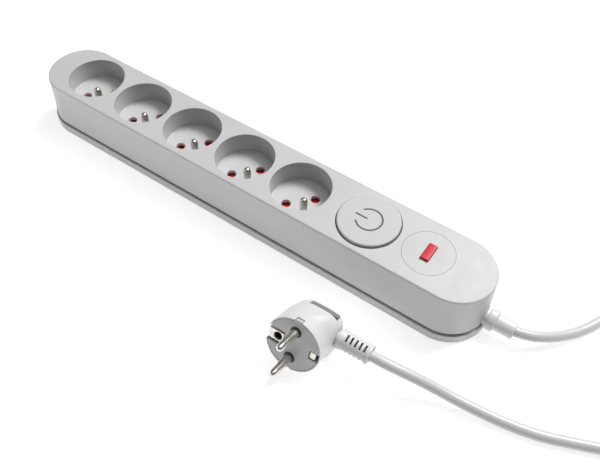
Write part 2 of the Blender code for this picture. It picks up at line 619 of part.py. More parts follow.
def make_cord():
    spacing = 2 * CORD_DIAMETER
    lead = [p for p in smooth_line(ROUTE_OUT, spacing) if clear_of_coil(p)]
    tube("cord_lead", lead, CORD_DIAMETER / 2, "cord_white", 2)
    mouth, inside = PLUG_NECK_END, PLUG_NECK_END - 0.0085
    in_boot = [plug_matrix() @ Vector((x, PLUG_NECK_Y, PLUG_NECK_Z)) for x in (mouth, inside)]
    back = [p for p in smooth_line(ROUTE_BACK + in_boot, spacing) if clear_of_coil(p)]
    tube("cord_return", back, CORD_DIAMETER / 2, "cord_white", 2)

    inner, outer = COIL_INNER_TURN - COIL_RIM, COIL_OUTER_TURN + COIL_RIM
    soft = 0.0020
    section = [
        (inner + soft, COIL_BOTTOM_Z), (outer - soft, COIL_BOTTOM_Z), (outer, COIL_BOTTOM_Z + soft),
        (outer, COIL_TOP_Z - soft), (outer - soft, COIL_TOP_Z), (inner + soft, COIL_TOP_Z),
        (inner, COIL_TOP_Z - soft), (inner, COIL_BOTTOM_Z + soft),
    ]
    steps = 36
    bm = bmesh.new()
    rings = []
    for i in range(steps):
        turn = 2 * pi * i / steps
        out = Vector((cos(turn), sin(turn)))
        rings.append([bm.verts.new((*(COIL_CENTRE + r * out), z)) for r, z in section])
    for i in range(steps):
        here, there = rings[i], rings[(i + 1) % steps]
        for k in range(len(section)):
            n = (k + 1) % len(section)
            bm.faces.new((here[k], here[n], there[n], there[k]))
    finish_mesh("cord_coil", bm, "cord_white")

    # The tie is a flat band round the bundle, which lies on it.
    band, half_width = 0.0008, 0.0050
    turn = Matrix.Translation((COIL_CENTRE.x, COIL_CENTRE.y, 0.0)) @ Matrix.Rotation(TIE_ANGLE, 4, "Z")
    bulge = outer - sqrt(outer ** 2 - half_width ** 2)
    inside_low = (inner - GAP - bulge, -half_width - 0.001, COIL_BOTTOM_Z - GAP)
    inside_high = (outer + GAP, half_width + 0.001, COIL_TOP_Z + GAP)
    tie = bmesh.new()
    box_into(tie, (inside_low[0] - band, -half_width, inside_low[2] - band),
             (inside_high[0] + band, half_width, inside_high[2] + band), turn)
    opening = bmesh.new()
    box_into(opening, inside_low, inside_high, turn)
    boolean(finish_mesh("coil_tie", tie, "tie_grey"), finish_mesh("tie_opening", opening))


# ---------------------------------------------------------------- plug
def plug_matrix():
    turn = Matrix.Rotation(PLUG_TURN[2], 4, "Z") @ Matrix.Rotation(PLUG_TURN[0], 4, "X")
    return Matrix.Translation(PLUG_PLACE) @ turn


def hood_ring(z, half_width, end_x, corner, lean):
    """Round towards -X, square with round corners towards +X; lean moves the ring along Y."""
    points = [Vector((half_width * cos(t), half_width * sin(t) + lean, z))
              for t in (pi / 2 + pi * i / 14 for i in range(15))]
    x = end_x - corner
    for y, start in ((corner - half_width, -pi / 2), (half_width - corner, 0.0)):
        points += [Vector((x + corner * cos(t), y + corner * sin(t) + lean, z))
                   for t in (start + pi / 2 * i / 5 for i in range(6))]
    return points


def make_plug():
    frame = bpy.data.objects.new("plug_frame", None)
    bpy.context.scene.collection.objects.link(frame)
    frame.location = PLUG_PLACE
    frame.rotation_euler = PLUG_TURN
    before = set(bpy.data.objects)

    rim = PLUG_RIM_RADIUS
    body = loft("plug_body", [
        hood_ring(0.0, rim - 0.0002, rim - 0.0002, rim - 0.0003, 0.0),
        hood_ring(-0.0004, rim, rim, rim - 0.0001, 0.0),
        hood_ring(-0.0080, 0.0173, 0.0173, 0.0172, 0.0006),
        hood_ring(-0.0140, 0.0165, 0.0176, 0.0130, 0.0014),
        hood_ring(-0.0190, 0.0154, 0.0182, 0.0100, PLUG_GRIP_LEAN),
        hood_ring(-0.0236, 0.0148, 0.0178, 0.0080, PLUG_GRIP_LEAN),
        hood_ring(-0.0260, 0.0120, 0.0154, 0.0060, PLUG_GRIP_LEAN),
    ], "plug_white")
    face = rods("plug_face", [(0.0, 0.0)], [
        (PLUG_FACE_BACK, PLUG_FACE_RADIUS), (-0.0003, PLUG_FACE_RADIUS), (0.0, PLUG_FACE_RADIUS - 0.0003),
    ], 36, "plug_grey")
    pocket_floor = PLUG_FACE_BACK - GAP
    face_pocket = holes("plug_face_pocket", [(0.0, 0.0)], pocket_floor, 0.0010, PLUG_FACE_RADIUS + GAP, 36)

    half = CONTACT_SPACING / 2
    pins = [(0.0, half), (0.0, -half)]
    pin_holes = holes("plug_pin_holes", pins, -0.0110, 0.0010, PIN_RADIUS + 2 * GAP, 12)
    keys, slots = bmesh.new(), bmesh.new()
    for side in (-1, 1):
        low, high = sorted((side * 0.0163, side * 0.0172))
        box_into(keys, (-0.0021, low, -0.0027), (0.0021, high, -0.0004))
        low, high = sorted((side * 0.0160, side * 0.0200))
        box_into(slots, (-0.0024, low, -0.0030), (0.0024, high, 0.0010))
    boolean(face, finish_mesh("plug_face_keys", keys), "UNION")
    key_slots = finish_mesh("plug_key_slots", slots)
    pockets = bmesh.new()
    box_into(pockets, (-0.0200, -0.0051, -0.0060), (-0.0060, 0.0051, 0.0010))
    box_into(pockets, (0.0108, -0.0028, -0.0060), (0.0170, 0.0028, 0.0010))
    contact_pockets = finish_mesh("plug_contact_pockets", pockets)
    boolean_all(face, [pin_holes, contact_pockets])
    neck_hole = lying_rod("plug_neck_hole", [(0.0120, 0.0051), (0.0300, 0.0051)], 16, PLUG_NECK_Y, PLUG_NECK_Z)
    bar_slots = bmesh.new()
    for side in (-1, 1):
        low, high = sorted((side * 0.0128, side * 0.0180))
        box_into(bar_slots, (-0.0039, PLUG_GRIP_LEAN + low, -0.0223), (0.0149, PLUG_GRIP_LEAN + high, -0.0193))
    grip_slots = finish_mesh("plug_grip_slots", bar_slots)
    boolean_all(body, [face_pocket, pin_holes, key_slots, contact_pockets, neck_hole, grip_slots])

    tip = PLUG_PIN_LENGTH
    for name, place in zip(("plug_pin_line", "plug_pin_neutral"), pins):
        rods(name, [place], [
            (-0.0105, PIN_RADIUS), (tip - 0.0045, PIN_RADIUS), (tip - 0.0016, 0.8 * PIN_RADIUS),
            (tip - 0.0005, 0.6 * PIN_RADIUS), (tip, 0.3 * PIN_RADIUS),
        ], 12, "nickel")

    contact = box("plug_earth_contact", (-0.0171, -0.0039, -0.0055), (-0.0063, 0.0039, -0.0004), "nickel", 0.0004)
    boolean(contact, holes("earth_socket_bore", [(-EARTH_OFFSET, 0.0)], -0.0045, 0.0010, 0.0026, 12))
    box("plug_earth_clip", (0.0111, -0.0025, -0.0055), (0.0149, 0.0025, -0.0004), "nickel", 0.0004)
    for name, side in (("plug_grip_upper", 1), ("plug_grip_lower", -1)):
        low, high = sorted((side * 0.0131, side * 0.0150))
        box(name, (-0.0036, PLUG_GRIP_LEAN + low, -0.0220), (0.0146, PLUG_GRIP_LEAN + high, -0.0196),
            "plug_grey", 0.0004)

    ribs = []
    for i in range(5):
        x = 0.0240 + 0.0029 * i
        ribs += [(x, 0.0060), (x + 0.0017, 0.0060), (x + 0.0017, 0.0052), (x + 0.0029, 0.0052)]
    root = [(0.0126, 0.0048), (0.0188, 0.0048), (0.0188, 0.0064), (0.0240, 0.0062)]
    mouth = [(0.0386, 0.0060), (PLUG_NECK_END - 0.0006, 0.0060), (PLUG_NECK_END, 0.0054)]
    boot = lying_rod("plug_strain_relief", root + ribs + mouth, 12, PLUG_NECK_Y, PLUG_NECK_Z, "plug_white")
    bore = CORD_DIAMETER / 2 + GAP
    hollow = [(0.0300, bore), (PLUG_NECK_END - 0.0030, bore), (PLUG_NECK_END + 0.0010, bore + 0.0008)]
    boolean(boot, lying_rod("boot_bore", hollow, 12, PLUG_NECK_Y, PLUG_NECK_Z))

    for obj in set(bpy.data.objects) - before:
        obj.parent = frame


def main():
    clear_scene()
    make_top_cover()
    make_base_shell()
    make_sockets()
    make_shutter_plate()
    make_bars()
    make_button()
    make_switch()
    make_pilot()
    make_cord_entry()
    make_case_screws()
    make_cores()
    make_cord()
    make_plug()


main()
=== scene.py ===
"""Finished look of a five-way power strip: smooth moulded shells, turned pins, a real cord and its finishes."""

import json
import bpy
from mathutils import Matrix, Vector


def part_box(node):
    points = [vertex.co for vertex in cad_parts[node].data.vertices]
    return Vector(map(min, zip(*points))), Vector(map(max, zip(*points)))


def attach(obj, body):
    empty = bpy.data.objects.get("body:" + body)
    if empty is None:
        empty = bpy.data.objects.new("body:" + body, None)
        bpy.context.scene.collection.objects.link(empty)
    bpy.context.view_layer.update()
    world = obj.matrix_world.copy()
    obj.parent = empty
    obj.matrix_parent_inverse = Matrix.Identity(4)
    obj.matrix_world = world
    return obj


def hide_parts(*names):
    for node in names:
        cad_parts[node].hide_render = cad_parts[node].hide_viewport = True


bl_info = {
    "name": "Power Strip",
    "version": (1, 0, 0),
    "blender": (4, 5, 0),
    "location": "3D View > Sidebar > Power Strip",
    "description": "Builds the detailed pieces and finishes of a power strip round its fixed frame",
    "category": "Add Mesh",
}

from math import cos, pi, radians, sin

import bpy
import numpy as np
from bpy.props import FloatProperty, FloatVectorProperty, PointerProperty
from mathutils import Matrix, Vector

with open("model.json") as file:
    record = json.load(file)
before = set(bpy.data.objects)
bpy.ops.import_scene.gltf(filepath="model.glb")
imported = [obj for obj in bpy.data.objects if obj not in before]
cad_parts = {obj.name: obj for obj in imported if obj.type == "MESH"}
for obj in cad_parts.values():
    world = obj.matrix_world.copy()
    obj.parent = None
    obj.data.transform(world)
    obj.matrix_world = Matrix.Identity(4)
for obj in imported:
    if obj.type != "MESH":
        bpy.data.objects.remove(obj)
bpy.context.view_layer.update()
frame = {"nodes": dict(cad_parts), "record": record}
NODES = frame["nodes"]


def low(node):
    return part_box(node)[0]


def high(node):
    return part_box(node)[1]


def middle(node):
    return (low(node) + high(node)) / 2


# ---------------------------------------------------------------- places taken from the frame
COVER_TOP_Z = high("top_cover").z
COVER_FOOT_Z = low("top_cover").z
COVER_FOOT_RADIUS = high("top_cover").y
COVER_TOP_RADIUS = COVER_FOOT_RADIUS - 0.0012
BASE_RADIUS = high("base_shell").y
ARC_X = high("base_shell").x - BASE_RADIUS      # centre of each round end
SEAM_Z = COVER_FOOT_Z - 0.0012                  # top of the base's ledge
SOCKET_NUMBERS = range(1, 6)
SOCKET_XS = [middle(f"shutter_{n}").x for n in SOCKET_NUMBERS]
EARTH_TIP_Z = high("earth_pin_1").z
SHUTTER_TOP_Z = high("shutter_1").z
SHUTTER_BOTTOM_Z = low("shutter_1").z
BUTTON = middle("power_button")
BUTTON_TOP_Z = high("power_button").z
BUTTON_SKIRT_Z = low("power_button").z
PILOT = middle("pilot_plate")
LENS_TOP_Z = high("pilot_lens").z
CORD_Z = middle("strain_relief").z
EXIT_X = high("strain_relief").x
SCREWS = [middle(f"case_screw_{n}") for n in range(1, 6)]

RECESS_RADIUS = 0.0195
RECESS_FLOOR_Z = 0.0248
RECESS_UNDER_Z = 0.0223
CONTACT_HALF_SPACING = 0.0095
SOCKET_TURN = radians(45)                       # line through the two contact holes
PIN_RADIUS = 0.0024

# The plug's own frame: X along its cord, Y along the line of its pins, Z out of its face
PLUG_FRAME = (
    Matrix.Translation((0.0940, -0.0856, 0.0208))
    @ Matrix.Rotation(radians(1.5), 4, "Z")
    @ Matrix.Rotation(radians(68.4), 4, "X")
)
NECK_Y, NECK_Z, NECK_END = 0.0045, -0.0198, 0.0392
GRIP_LEAN = 0.0018                              # how far the hood's rear sits to +Y of the pins' centre

# Free cord: points that its axis passes through
ROUTE_OUT = [
    (0.1735, 0.0000, 0.0110), (0.1800, 0.0000, 0.0110), (0.1865, 0.0000, 0.0110), (0.1915, 0.0004, 0.0109),
    (0.1963, 0.0018, 0.0105), (0.2008, 0.0039, 0.0098), (0.2050, 0.0069, 0.0089), (0.2122, 0.0138, 0.0067),
    (0.2186, 0.0215, 0.0049), (0.2242, 0.0298, 0.0039), (0.2297, 0.0404, 0.0035), (0.2368, 0.0527, 0.0035),
    (0.2464, 0.0634, 0.0036), (0.2580, 0.0717, 0.0038), (0.2710, 0.0776, 0.0041), (0.2873, 0.0807, 0.0045),
    (0.3038, 0.0799, 0.0047),
]
ROUTE_BACK = [
    (0.3131, -0.0133, 0.0116), (0.3038, -0.0169, 0.0113), (0.2945, -0.0206, 0.0103), (0.2851, -0.0242, 0.0086),
    (0.2758, -0.0278, 0.0067), (0.2665, -0.0315, 0.0051), (0.2575, -0.0350, 0.0040), (0.2415, -0.0415, 0.0035),
    (0.2290, -0.0462, 0.0035), (0.2170, -0.0493, 0.0036), (0.2050, -0.0517, 0.0042), (0.1920, -0.0539, 0.0057),
    (0.1805, -0.0557, 0.0074), (0.1700, -0.0575, 0.0100), (0.1600, -0.0599, 0.0132), (0.1505, -0.0622, 0.0158),
    (0.1410, -0.0639, 0.0173),
]
COIL_CENTRE = Vector((0.2955, 0.0320))
COIL_OUTER, COIL_INNER = 0.0486, 0.0334         # radii of the turns' axes
COIL_LOW_Z, COIL_HIGH_Z = 0.0047, 0.0116        # heights of its two layers
COIL_START = radians(80.1)
COIL_SWEEP = radians(148.9 + 4 * 360)


# ---------------------------------------------------------------- what a user may change
class PowerStripSizes(bpy.types.PropertyGroup):
    cover_edge: FloatProperty(
        name="Cover Edge", description="Rounding of the cover's top edge",
        default=0.0011, min=0.0002, max=0.0030,
        subtype="DISTANCE", unit="LENGTH")
    recess_edge: FloatProperty(
        name="Recess Edge", description="Rounding of each socket's rim",
        default=0.0004, min=0.0001, max=0.0008,
        subtype="DISTANCE", unit="LENGTH")
    button_edge: FloatProperty(
        name="Button Edge", description="Rounding of the push button's rim",
        default=0.0009, min=0.0002, max=0.0016,
        subtype="DISTANCE", unit="LENGTH")
    symbol_radius: FloatProperty(
        name="Symbol Radius", description="Radius of the ring engraved in the button",
        default=0.0081, min=0.0040,
        max=0.0120, subtype="DISTANCE", unit="LENGTH")
    symbol_line: FloatProperty(
        name="Symbol Line", description="Width of the engraved line", default=0.0012, min=0.0004, max=0.0016,
        subtype="DISTANCE", unit="LENGTH")
    lens_edge: FloatProperty(
        name="Lens Edge", description="Slope round the top of the pilot lens",
        default=0.0006, min=0.0001, max=0.0010,
        subtype="DISTANCE", unit="LENGTH")
    cord_diameter: FloatProperty(
        name="Cord Diameter", description="Outer diameter of the mains cord",
        default=0.0068, min=0.0060, max=0.0070,
        subtype="DISTANCE", unit="LENGTH")
    cord_length: FloatProperty(
        name="Cord Length", description="Real length of the whole mains cord", default=1.5, min=1.4, max=1.6,
        subtype="DISTANCE", unit="LENGTH")


def colour(name, description, default):
    return FloatVectorProperty(name=name, description=description, default=default, min=0.0, max=1.0, size=3,
                               subtype="COLOR")


class PowerStripColours(bpy.types.PropertyGroup):
    case: colour("Case", "Moulded plastic of the case, button and pilot disc", (0.520, 0.520, 0.522))
    white: colour("White Plastic", "Plug hood, boot and strain relief", (0.660, 0.660, 0.664))
    plug_face: colour("Plug Face", "Grey plastic of the plug's face", (0.480, 0.480, 0.492))
    grip: colour("Grip Bars", "Grey plastic of the plug's two grip bars", (0.210, 0.210, 0.218))
    cord: colour("Cord", "Sheath of the mains cord", (0.580, 0.580, 0.584))
    shutter: colour("Shutter", "Red plastic behind the contact holes", (0.780, 0.020, 0.030))
    lens: colour("Lens", "Red lens of the pilot light", (0.560, 0.018, 0.034))
    metal: colour("Nickel", "Plated pins and earth contacts", (0.640, 0.620, 0.580))
    symbol: colour("Symbol", "Engraved line in the button", (0.085, 0.085, 0.090))
    strap: colour("Strap", "Woven strap round the coiled cord", (0.030, 0.030, 0.034))
    floor: colour("Floor", "Floor that the strip stands on", (0.900, 0.900, 0.900))


# ---------------------------------------------------------------- shader arithmetic
class Signal:
    """A shader socket that Python arithmetic can use."""

    def __init__(self, finish, socket):
        self.finish = finish
        self.socket = socket

    def math(self, operation, first, second):
        return self.finish.node("ShaderNodeMath", {"operation": operation}, {0: first, 1: second})

    def __add__(self, other):
        return self.math("ADD", self, other)

    __radd__ = __add__

    def __sub__(self, other):
        return self.math("SUBTRACT", self, other)

    def __rsub__(self, other):
        return self.math("SUBTRACT", other, self)

    def __mul__(self, other):
        return self.math("MULTIPLY", self, other)

    __rmul__ = __mul__

    def __pow__(self, other):
        return self.math("POWER", self, other)

    def __rpow__(self, other):
        return self.math("POWER", other, self)


class Finish:
    """One material, with short ways to add what its surface does."""

    def __init__(self, name, rgb, roughness, metallic=0.0, **constants):
        self.material = bpy.data.materials.new(name)
        self.material.use_nodes = True
        self.tree = self.material.node_tree
        self.shader = self.tree.nodes["Principled BSDF"]
        self.rgb = tuple(rgb)
        self.set("Base Color", (*rgb, 1.0))
        self.set("Roughness", roughness)
        self.set("Metallic", metallic)
        for socket, value in constants.items():
            self.set(socket.replace("_", " "), value)
        self.material.diffuse_color = (*rgb, 1.0)

    def feed(self, socket, value):
        if isinstance(value, Signal):
            self.tree.links.new(value.socket, socket)
        else:
            socket.default_value = value

    def set(self, socket, value):
        self.feed(self.shader.inputs[socket], value)

    def node(self, kind, settings=None, inputs=None, output=0):
        made = self.tree.nodes.new(kind)
        for name, value in (settings or {}).items():
            setattr(made, name, value)
        for key, value in (inputs or {}).items():
            self.feed(made.inputs[key], value)
        return Signal(self, made.outputs[output])

    def place(self):
        return self.node("ShaderNodeTexCoord", output="Object")

    def noise(self, scale, detail=2.0, roughness=0.5, vector=None):
        return self.node("ShaderNodeTexNoise", {"noise_dimensions": "3D"}, {
            "Vector": vector or self.place(), "Scale": scale, "Detail": detail, "Roughness": roughness,
        }, "Fac")

    def spread(self, value, low_in, high_in, low_out, high_out):
        return self.node("ShaderNodeMapRange", {"clamp": True}, {
            "Value": value, "From Min": low_in, "From Max": high_in, "To Min": low_out, "To Max": high_out,
        })

    def blend(self, factor, first, second):
        """Colour that turns from first to second; each is a colour or a signal."""
        def full(value):
            return value if isinstance(value, Signal) else (*value, 1.0)
        sockets = {0: factor, 6: full(first), 7: full(second)}
        return self.node("ShaderNodeMix", {"data_type": "RGBA"}, sockets, 2)

    def edges(self, low_in=0.52, high_in=0.60):
        """1 on worn outer edges, 0 elsewhere."""
        pointy = self.node("ShaderNodeNewGeometry", output="Pointiness")
        return self.spread(pointy, low_in, high_in, 0.0, 1.0)

    def bump(self, height, distance, strength=1.0):
        self.set("Normal", self.node("ShaderNodeBump", None, {
            "Strength": strength, "Distance": distance, "Height": height,
        }))


def shade(rgb, factor):
    return tuple(min(1.0, channel * factor) for channel in rgb)


def moulded(name, rgb, roughness, grain=2600.0, depth=0.000018, **constants):
    """Moulded plastic: spark-eroded grain, faint flow marks, edges polished by handling."""
    made = Finish(name, rgb, roughness, **constants)
    flow = made.noise(22.0, 3.0)
    worn = made.edges()
    body = made.blend(made.spread(flow, 0.3, 0.7, 0.0, 1.0), shade(rgb, 0.975), shade(rgb, 1.015))
    made.set("Base Color", made.blend(worn * 0.35, body, shade(rgb, 1.12)))
    grains = made.noise(grain, 2.0)
    made.set("Roughness", made.spread(made.noise(190.0, 4.0), 0.25, 0.75, roughness - 0.05, roughness + 0.06)
             - worn * 0.10)
    made.bump(grains * 0.7 + made.noise(420.0, 2.0) * 0.3, depth)
    return made


def turned_metal(name, rgb, roughness, scale=900.0, depth=0.000004, **constants):
    """Plated or bare metal: fine tool marks, dull patches, brighter edges."""
    made = Finish(name, rgb, roughness, 1.0, **constants)
    dull = made.spread(made.noise(320.0, 5.0, 0.6), 0.35, 0.7, 0.0, 1.0)
    worn = made.edges(0.53, 0.62)
    body = made.blend(dull, shade(rgb, 1.05), shade(rgb, 0.82))
    made.set("Base Color", made.blend(worn * 0.6, body, shade(rgb, 1.25)))
    made.set("Roughness", roughness + dull * 0.14 - worn * 0.08)
    made.bump(made.noise(scale, 3.0), depth)
    return made


def sheathed(name, rgb, roughness):
    """Extruded flexible sheath: long soft waves, a fine skin and handling marks."""
    made = Finish(name, rgb, roughness, Coat_Weight=0.15, Coat_Roughness=0.25)
    waves = made.noise(60.0, 2.0)
    marks = made.spread(made.noise(240.0, 4.0, 0.65), 0.55, 0.80, 0.0, 1.0)
    made.set("Base Color", made.blend(marks * 0.25, shade(rgb, 1.0), shade(rgb, 0.93)))
    made.set("Roughness", roughness + marks * 0.10 + waves * 0.05)
    made.bump(waves * 0.6 + made.noise(1800.0, 2.0) * 0.4, 0.00003)
    return made


def striped(name, rgb, other, pitch):
    """Wire insulation with a long stripe of a second colour."""
    made = Finish(name, rgb, 0.42)
    wave = made.node("ShaderNodeTexWave", {"wave_type": "BANDS", "bands_direction": "DIAGONAL"}, {
        "Vector": made.place(), "Scale": pitch, "Distortion": 0.0,
    }, "Fac")
    made.set("Base Color", made.blend(made.spread(wave, 0.55, 0.62, 0.0, 1.0), rgb, other))
    made.bump(made.noise(900.0, 2.0), 0.00001)
    return made


def woven(name, rgb):
    """Hook-and-loop strap: crossing threads with a fuzzy face."""
    made = Finish(name, rgb, 0.9, Sheen_Weight=0.3)
    def threads(direction):
        return made.node("ShaderNodeTexWave", {"wave_type": "BANDS", "bands_direction": direction}, {
            "Vector": made.place(), "Scale": 260.0, "Distortion": 0.6, "Detail": 1.0,
        }, "Fac")
    weave = threads("X") * 0.4 + threads("Y") * 0.3 + threads("Z") * 0.3
    made.set("Base Color", made.blend(weave, shade(rgb, 0.7), shade(rgb, 1.8)))
    made.set("Roughness", made.spread(weave, 0.0, 1.0, 0.85, 0.95))
    made.bump(weave + made.noise(1500.0, 3.0) * 0.4, 0.00012)
    return made


FINISHES = {}


def make_finishes(colours):
    FINISHES.clear()
    for made in (
        moulded("case_plastic", colours.case, 0.46),
        moulded("white_plastic", colours.white, 0.38, 2200.0, 0.000014),
        moulded("plug_face_plastic", colours.plug_face, 0.42, 2400.0, 0.000020),
        moulded("grip_plastic", colours.grip, 0.50, 2400.0, 0.000020),
        moulded("shutter_plastic", colours.shutter, 0.30, 1800.0, 0.000008, Coat_Weight=0.3),
        moulded("black_plastic", (0.022, 0.022, 0.024), 0.42, 2000.0, 0.000015),
        moulded("natural_plastic", (0.52, 0.51, 0.47), 0.55, 2000.0, 0.000020),
        moulded("symbol_paint", colours.symbol, 0.55, 1500.0, 0.000010),
        moulded("tan_lacquer", (0.55, 0.38, 0.20), 0.35, 1500.0, 0.000010, Coat_Weight=0.5),
        moulded("brown_insulation", (0.13, 0.045, 0.020), 0.40, 900.0, 0.000010),
        moulded("blue_insulation", (0.020, 0.090, 0.420), 0.40, 900.0, 0.000010),
        striped("earth_insulation", (0.030, 0.260, 0.040), (0.750, 0.620, 0.030), 60.0),
        turned_metal("nickel_plate", colours.metal, 0.30),
        turned_metal("bare_brass", (0.680, 0.470, 0.170), 0.26),
        turned_metal("zinc_plate", (0.560, 0.570, 0.590), 0.32, 1400.0, 0.000008),
        sheathed("cord_sheath", colours.cord, 0.34),
        woven("strap_weave", colours.strap),
    ):
        FINISHES[made.material.name] = made.material

    lens = Finish("lens_red", colours.lens, 0.30, Coat_Weight=0.12, Coat_Roughness=0.22)
    ribs = lens.node("ShaderNodeTexWave", {"wave_type": "BANDS", "bands_direction": "Y"}, {
        "Vector": lens.place(), "Scale": 180.0, "Distortion": 0.0,
    }, "Fac")
    depth = lens.spread(lens.noise(300.0, 2.0), 0.3, 0.7, 0.0, 1.0)
    lens.set("Base Color", lens.blend(depth * 0.4 + ribs * 0.2, colours.lens, shade(colours.lens, 0.75)))
    # Painted glow: a faint emission in the lens's own red brightens the lens, though the pilot lamp is unlit.
    lens.set("Emission Color", (*colours.lens, 1.0))
    lens.set("Emission Strength", 0.10)
    lens.set("Specular IOR Level", 0.25)
    lens.set("Roughness", 0.28 + depth * 0.06)
    lens.bump(ribs, 0.00001)
    FINISHES["lens_red"] = lens.material

    glass = Finish("lamp_glass", (0.90, 0.86, 0.80), 0.05, Transmission_Weight=0.9, IOR=1.5)
    glass.set("Roughness", glass.spread(glass.noise(500.0, 2.0), 0.3, 0.7, 0.03, 0.10))
    glass.bump(glass.noise(250.0, 1.0), 0.00002)
    FINISHES["lamp_glass"] = glass.material


SLOT_FINISH = {
    "case_grey": "case_plastic", "shutter_red": "shutter_plastic", "lens_red": "lens_red", "nickel": "nickel_plate",
    "brass": "bare_brass", "zinc_steel": "zinc_plate", "switch_black": "black_plastic",
    "inner_plastic": "natural_plastic", "glass": "lamp_glass", "resistor_tan": "tan_lacquer",
    "core_brown": "brown_insulation", "core_blue": "blue_insulation", "core_earth": "earth_insulation",
    "cord_white": "cord_sheath", "plug_white": "white_plastic", "plug_grey": "plug_face_plastic",
    "tie_grey": "strap_weave",
}


# ---------------------------------------------------------------- modelling by hand
def clear_selection():
    for obj in list(bpy.context.selected_objects):
        obj.select_set(False)


def hold(obj):
    clear_selection()
    obj.select_set(True)
    bpy.context.view_layer.objects.active = obj
    return obj


def edit(obj, mode="VERT"):
    """Open obj for editing with nothing selected."""
    hold(obj)
    bpy.ops.object.mode_set(mode="EDIT")
    bpy.ops.mesh.select_mode(type=mode)
    bpy.ops.mesh.select_all(action="DESELECT")


def close():
    bpy.ops.object.mode_set(mode="OBJECT")


def settle(obj):
    """Put the object's place and turn into its mesh."""
    hold(obj)
    bpy.ops.object.transform_apply(location=True, rotation=True, scale=True)
    return obj


def face_outwards(obj, merge=0.000001):
    edit(obj)
    bpy.ops.mesh.select_all(action="SELECT")
    bpy.ops.mesh.remove_doubles(threshold=merge)
    bpy.ops.mesh.normals_make_consistent(inside=False)
    close()
    return obj


def select_points(obj, test):
    """Open obj with the points for which test is true selected."""
    edit(obj)
    bpy.ops.object.mode_set(mode="OBJECT")
    for vertex in obj.data.vertices:
        vertex.select = bool(test(vertex.co))
    bpy.ops.object.mode_set(mode="EDIT")


def select_edges(obj, test):
    """Open obj with the edges for which test(one end, other end) is true selected."""
    edit(obj, "EDGE")
    bpy.ops.object.mode_set(mode="OBJECT")
    points = [vertex.co.copy() for vertex in obj.data.vertices]
    for line in obj.data.edges:
        line.select = bool(test(points[line.vertices[0]], points[line.vertices[1]]))
    bpy.ops.object.mode_set(mode="EDIT")


def bevel_edges(obj, test, offset, segments=3):
    select_edges(obj, test)
    bpy.ops.mesh.bevel(offset=offset, segments=segments, profile=0.5, affect="EDGES", clamp_overlap=True)
    close()


def turned(name, profile, steps=64, x=0.0, y=0.0):
    """Round body about an upright line: a disc drawn at the first height, then pulled up and scaled ring by ring."""
    clear_selection()
    z, radius = profile[0]
    bpy.ops.mesh.primitive_circle_add(vertices=steps, radius=radius, fill_type="NGON", location=(x, y, z))
    obj = bpy.context.object
    obj.name = name
    settle(obj)
    edit(obj, "FACE")
    bpy.ops.mesh.select_all(action="SELECT")
    for next_z, next_radius in profile[1:]:
        bpy.ops.mesh.extrude_region_move(TRANSFORM_OT_translate={"value": (0.0, 0.0, next_z - z)})
        scale = next_radius / radius
        bpy.ops.transform.resize(value=(scale, scale, 1.0), center_override=(x, y, next_z))
        z, radius = next_z, next_radius
    close()
    return face_outwards(obj)


def rounded_end(z, radius, size, up=1, steps=4):
    """Profile points of a rounded edge that ends a round body at height z."""
    turns = [pi / 2 * i / steps for i in range(steps + 1)]
    return [(z - up * size * (1 - sin(t)), radius - size * (1 - cos(t))) for t in turns]


def block(name, corner, opposite, edge=0.0, segments=2):
    """Box between two corners, its edges bevelled."""
    corner, opposite = Vector(corner), Vector(opposite)
    clear_selection()
    bpy.ops.mesh.primitive_cube_add(size=1.0, location=(corner + opposite) / 2, scale=opposite - corner)
    obj = bpy.context.object
    obj.name = name
    settle(obj)
    if edge:
        bevel_edges(obj, lambda a, b: True, edge, segments)
    return face_outwards(obj)


def capsule_block(name, radius_low, radius_high, z_low, z_high, steps=128):
    """Long block with round ends: a cone frustum whose halves are drawn apart."""
    clear_selection()
    bpy.ops.mesh.primitive_cone_add(
        vertices=steps, radius1=radius_low, radius2=radius_high, depth=z_high - z_low,
        location=(0.0, 0.0, (z_low + z_high) / 2), rotation=(0.0, 0.0, pi / steps), end_fill_type="NGON")
    obj = bpy.context.object
    obj.name = name
    settle(obj)
    for side in (-1, 1):
        select_points(obj, lambda p: p.x * side > 0.0)
        bpy.ops.transform.translate(value=(side * ARC_X, 0.0, 0.0))
        close()
    return face_outwards(obj)


def bridged(name, rings):
    """Closed rings drawn one after the other, bridged into a skin and capped at both ends."""
    count = len(rings[0])
    clear_selection()
    bpy.ops.mesh.primitive_circle_add(vertices=count, radius=0.01)
    obj = bpy.context.object
    obj.name = name
    bpy.ops.object.mode_set(mode="EDIT")
    for _ in rings[1:]:
        bpy.ops.mesh.primitive_circle_add(vertices=count, radius=0.01)
    bpy.ops.object.mode_set(mode="OBJECT")
    settle(obj)
    for vertex, point in zip(obj.data.vertices, [point for ring in rings for point in ring]):
        vertex.co = point
    edit(obj, "EDGE")
    bpy.ops.mesh.select_all(action="SELECT")
    bpy.ops.mesh.bridge_edge_loops()
    bpy.ops.mesh.select_all(action="SELECT")
    bpy.ops.mesh.fill_holes(sides=0)
    close()
    return face_outwards(obj)


def copied(obj, name, shift=(0.0, 0.0, 0.0)):
    """A copy of obj with its own mesh, moved by shift."""
    twin = obj.copy()
    twin.data = obj.data.copy()
    twin.name = name
    bpy.context.scene.collection.objects.link(twin)
    twin.location = Vector(shift)
    return settle(twin)


def turn_piece(obj, angle, axis, centre=(0.0, 0.0, 0.0)):
    centre = Vector(centre)
    turn = Matrix.Rotation(angle, 4, axis)
    obj.matrix_world = Matrix.Translation(centre) @ turn @ Matrix.Translation(-centre)
    return settle(obj)


def gather(first, others):
    """Join the others into first."""
    hold(first)
    for other in others:
        other.select_set(True)
    bpy.ops.object.join()
    return first


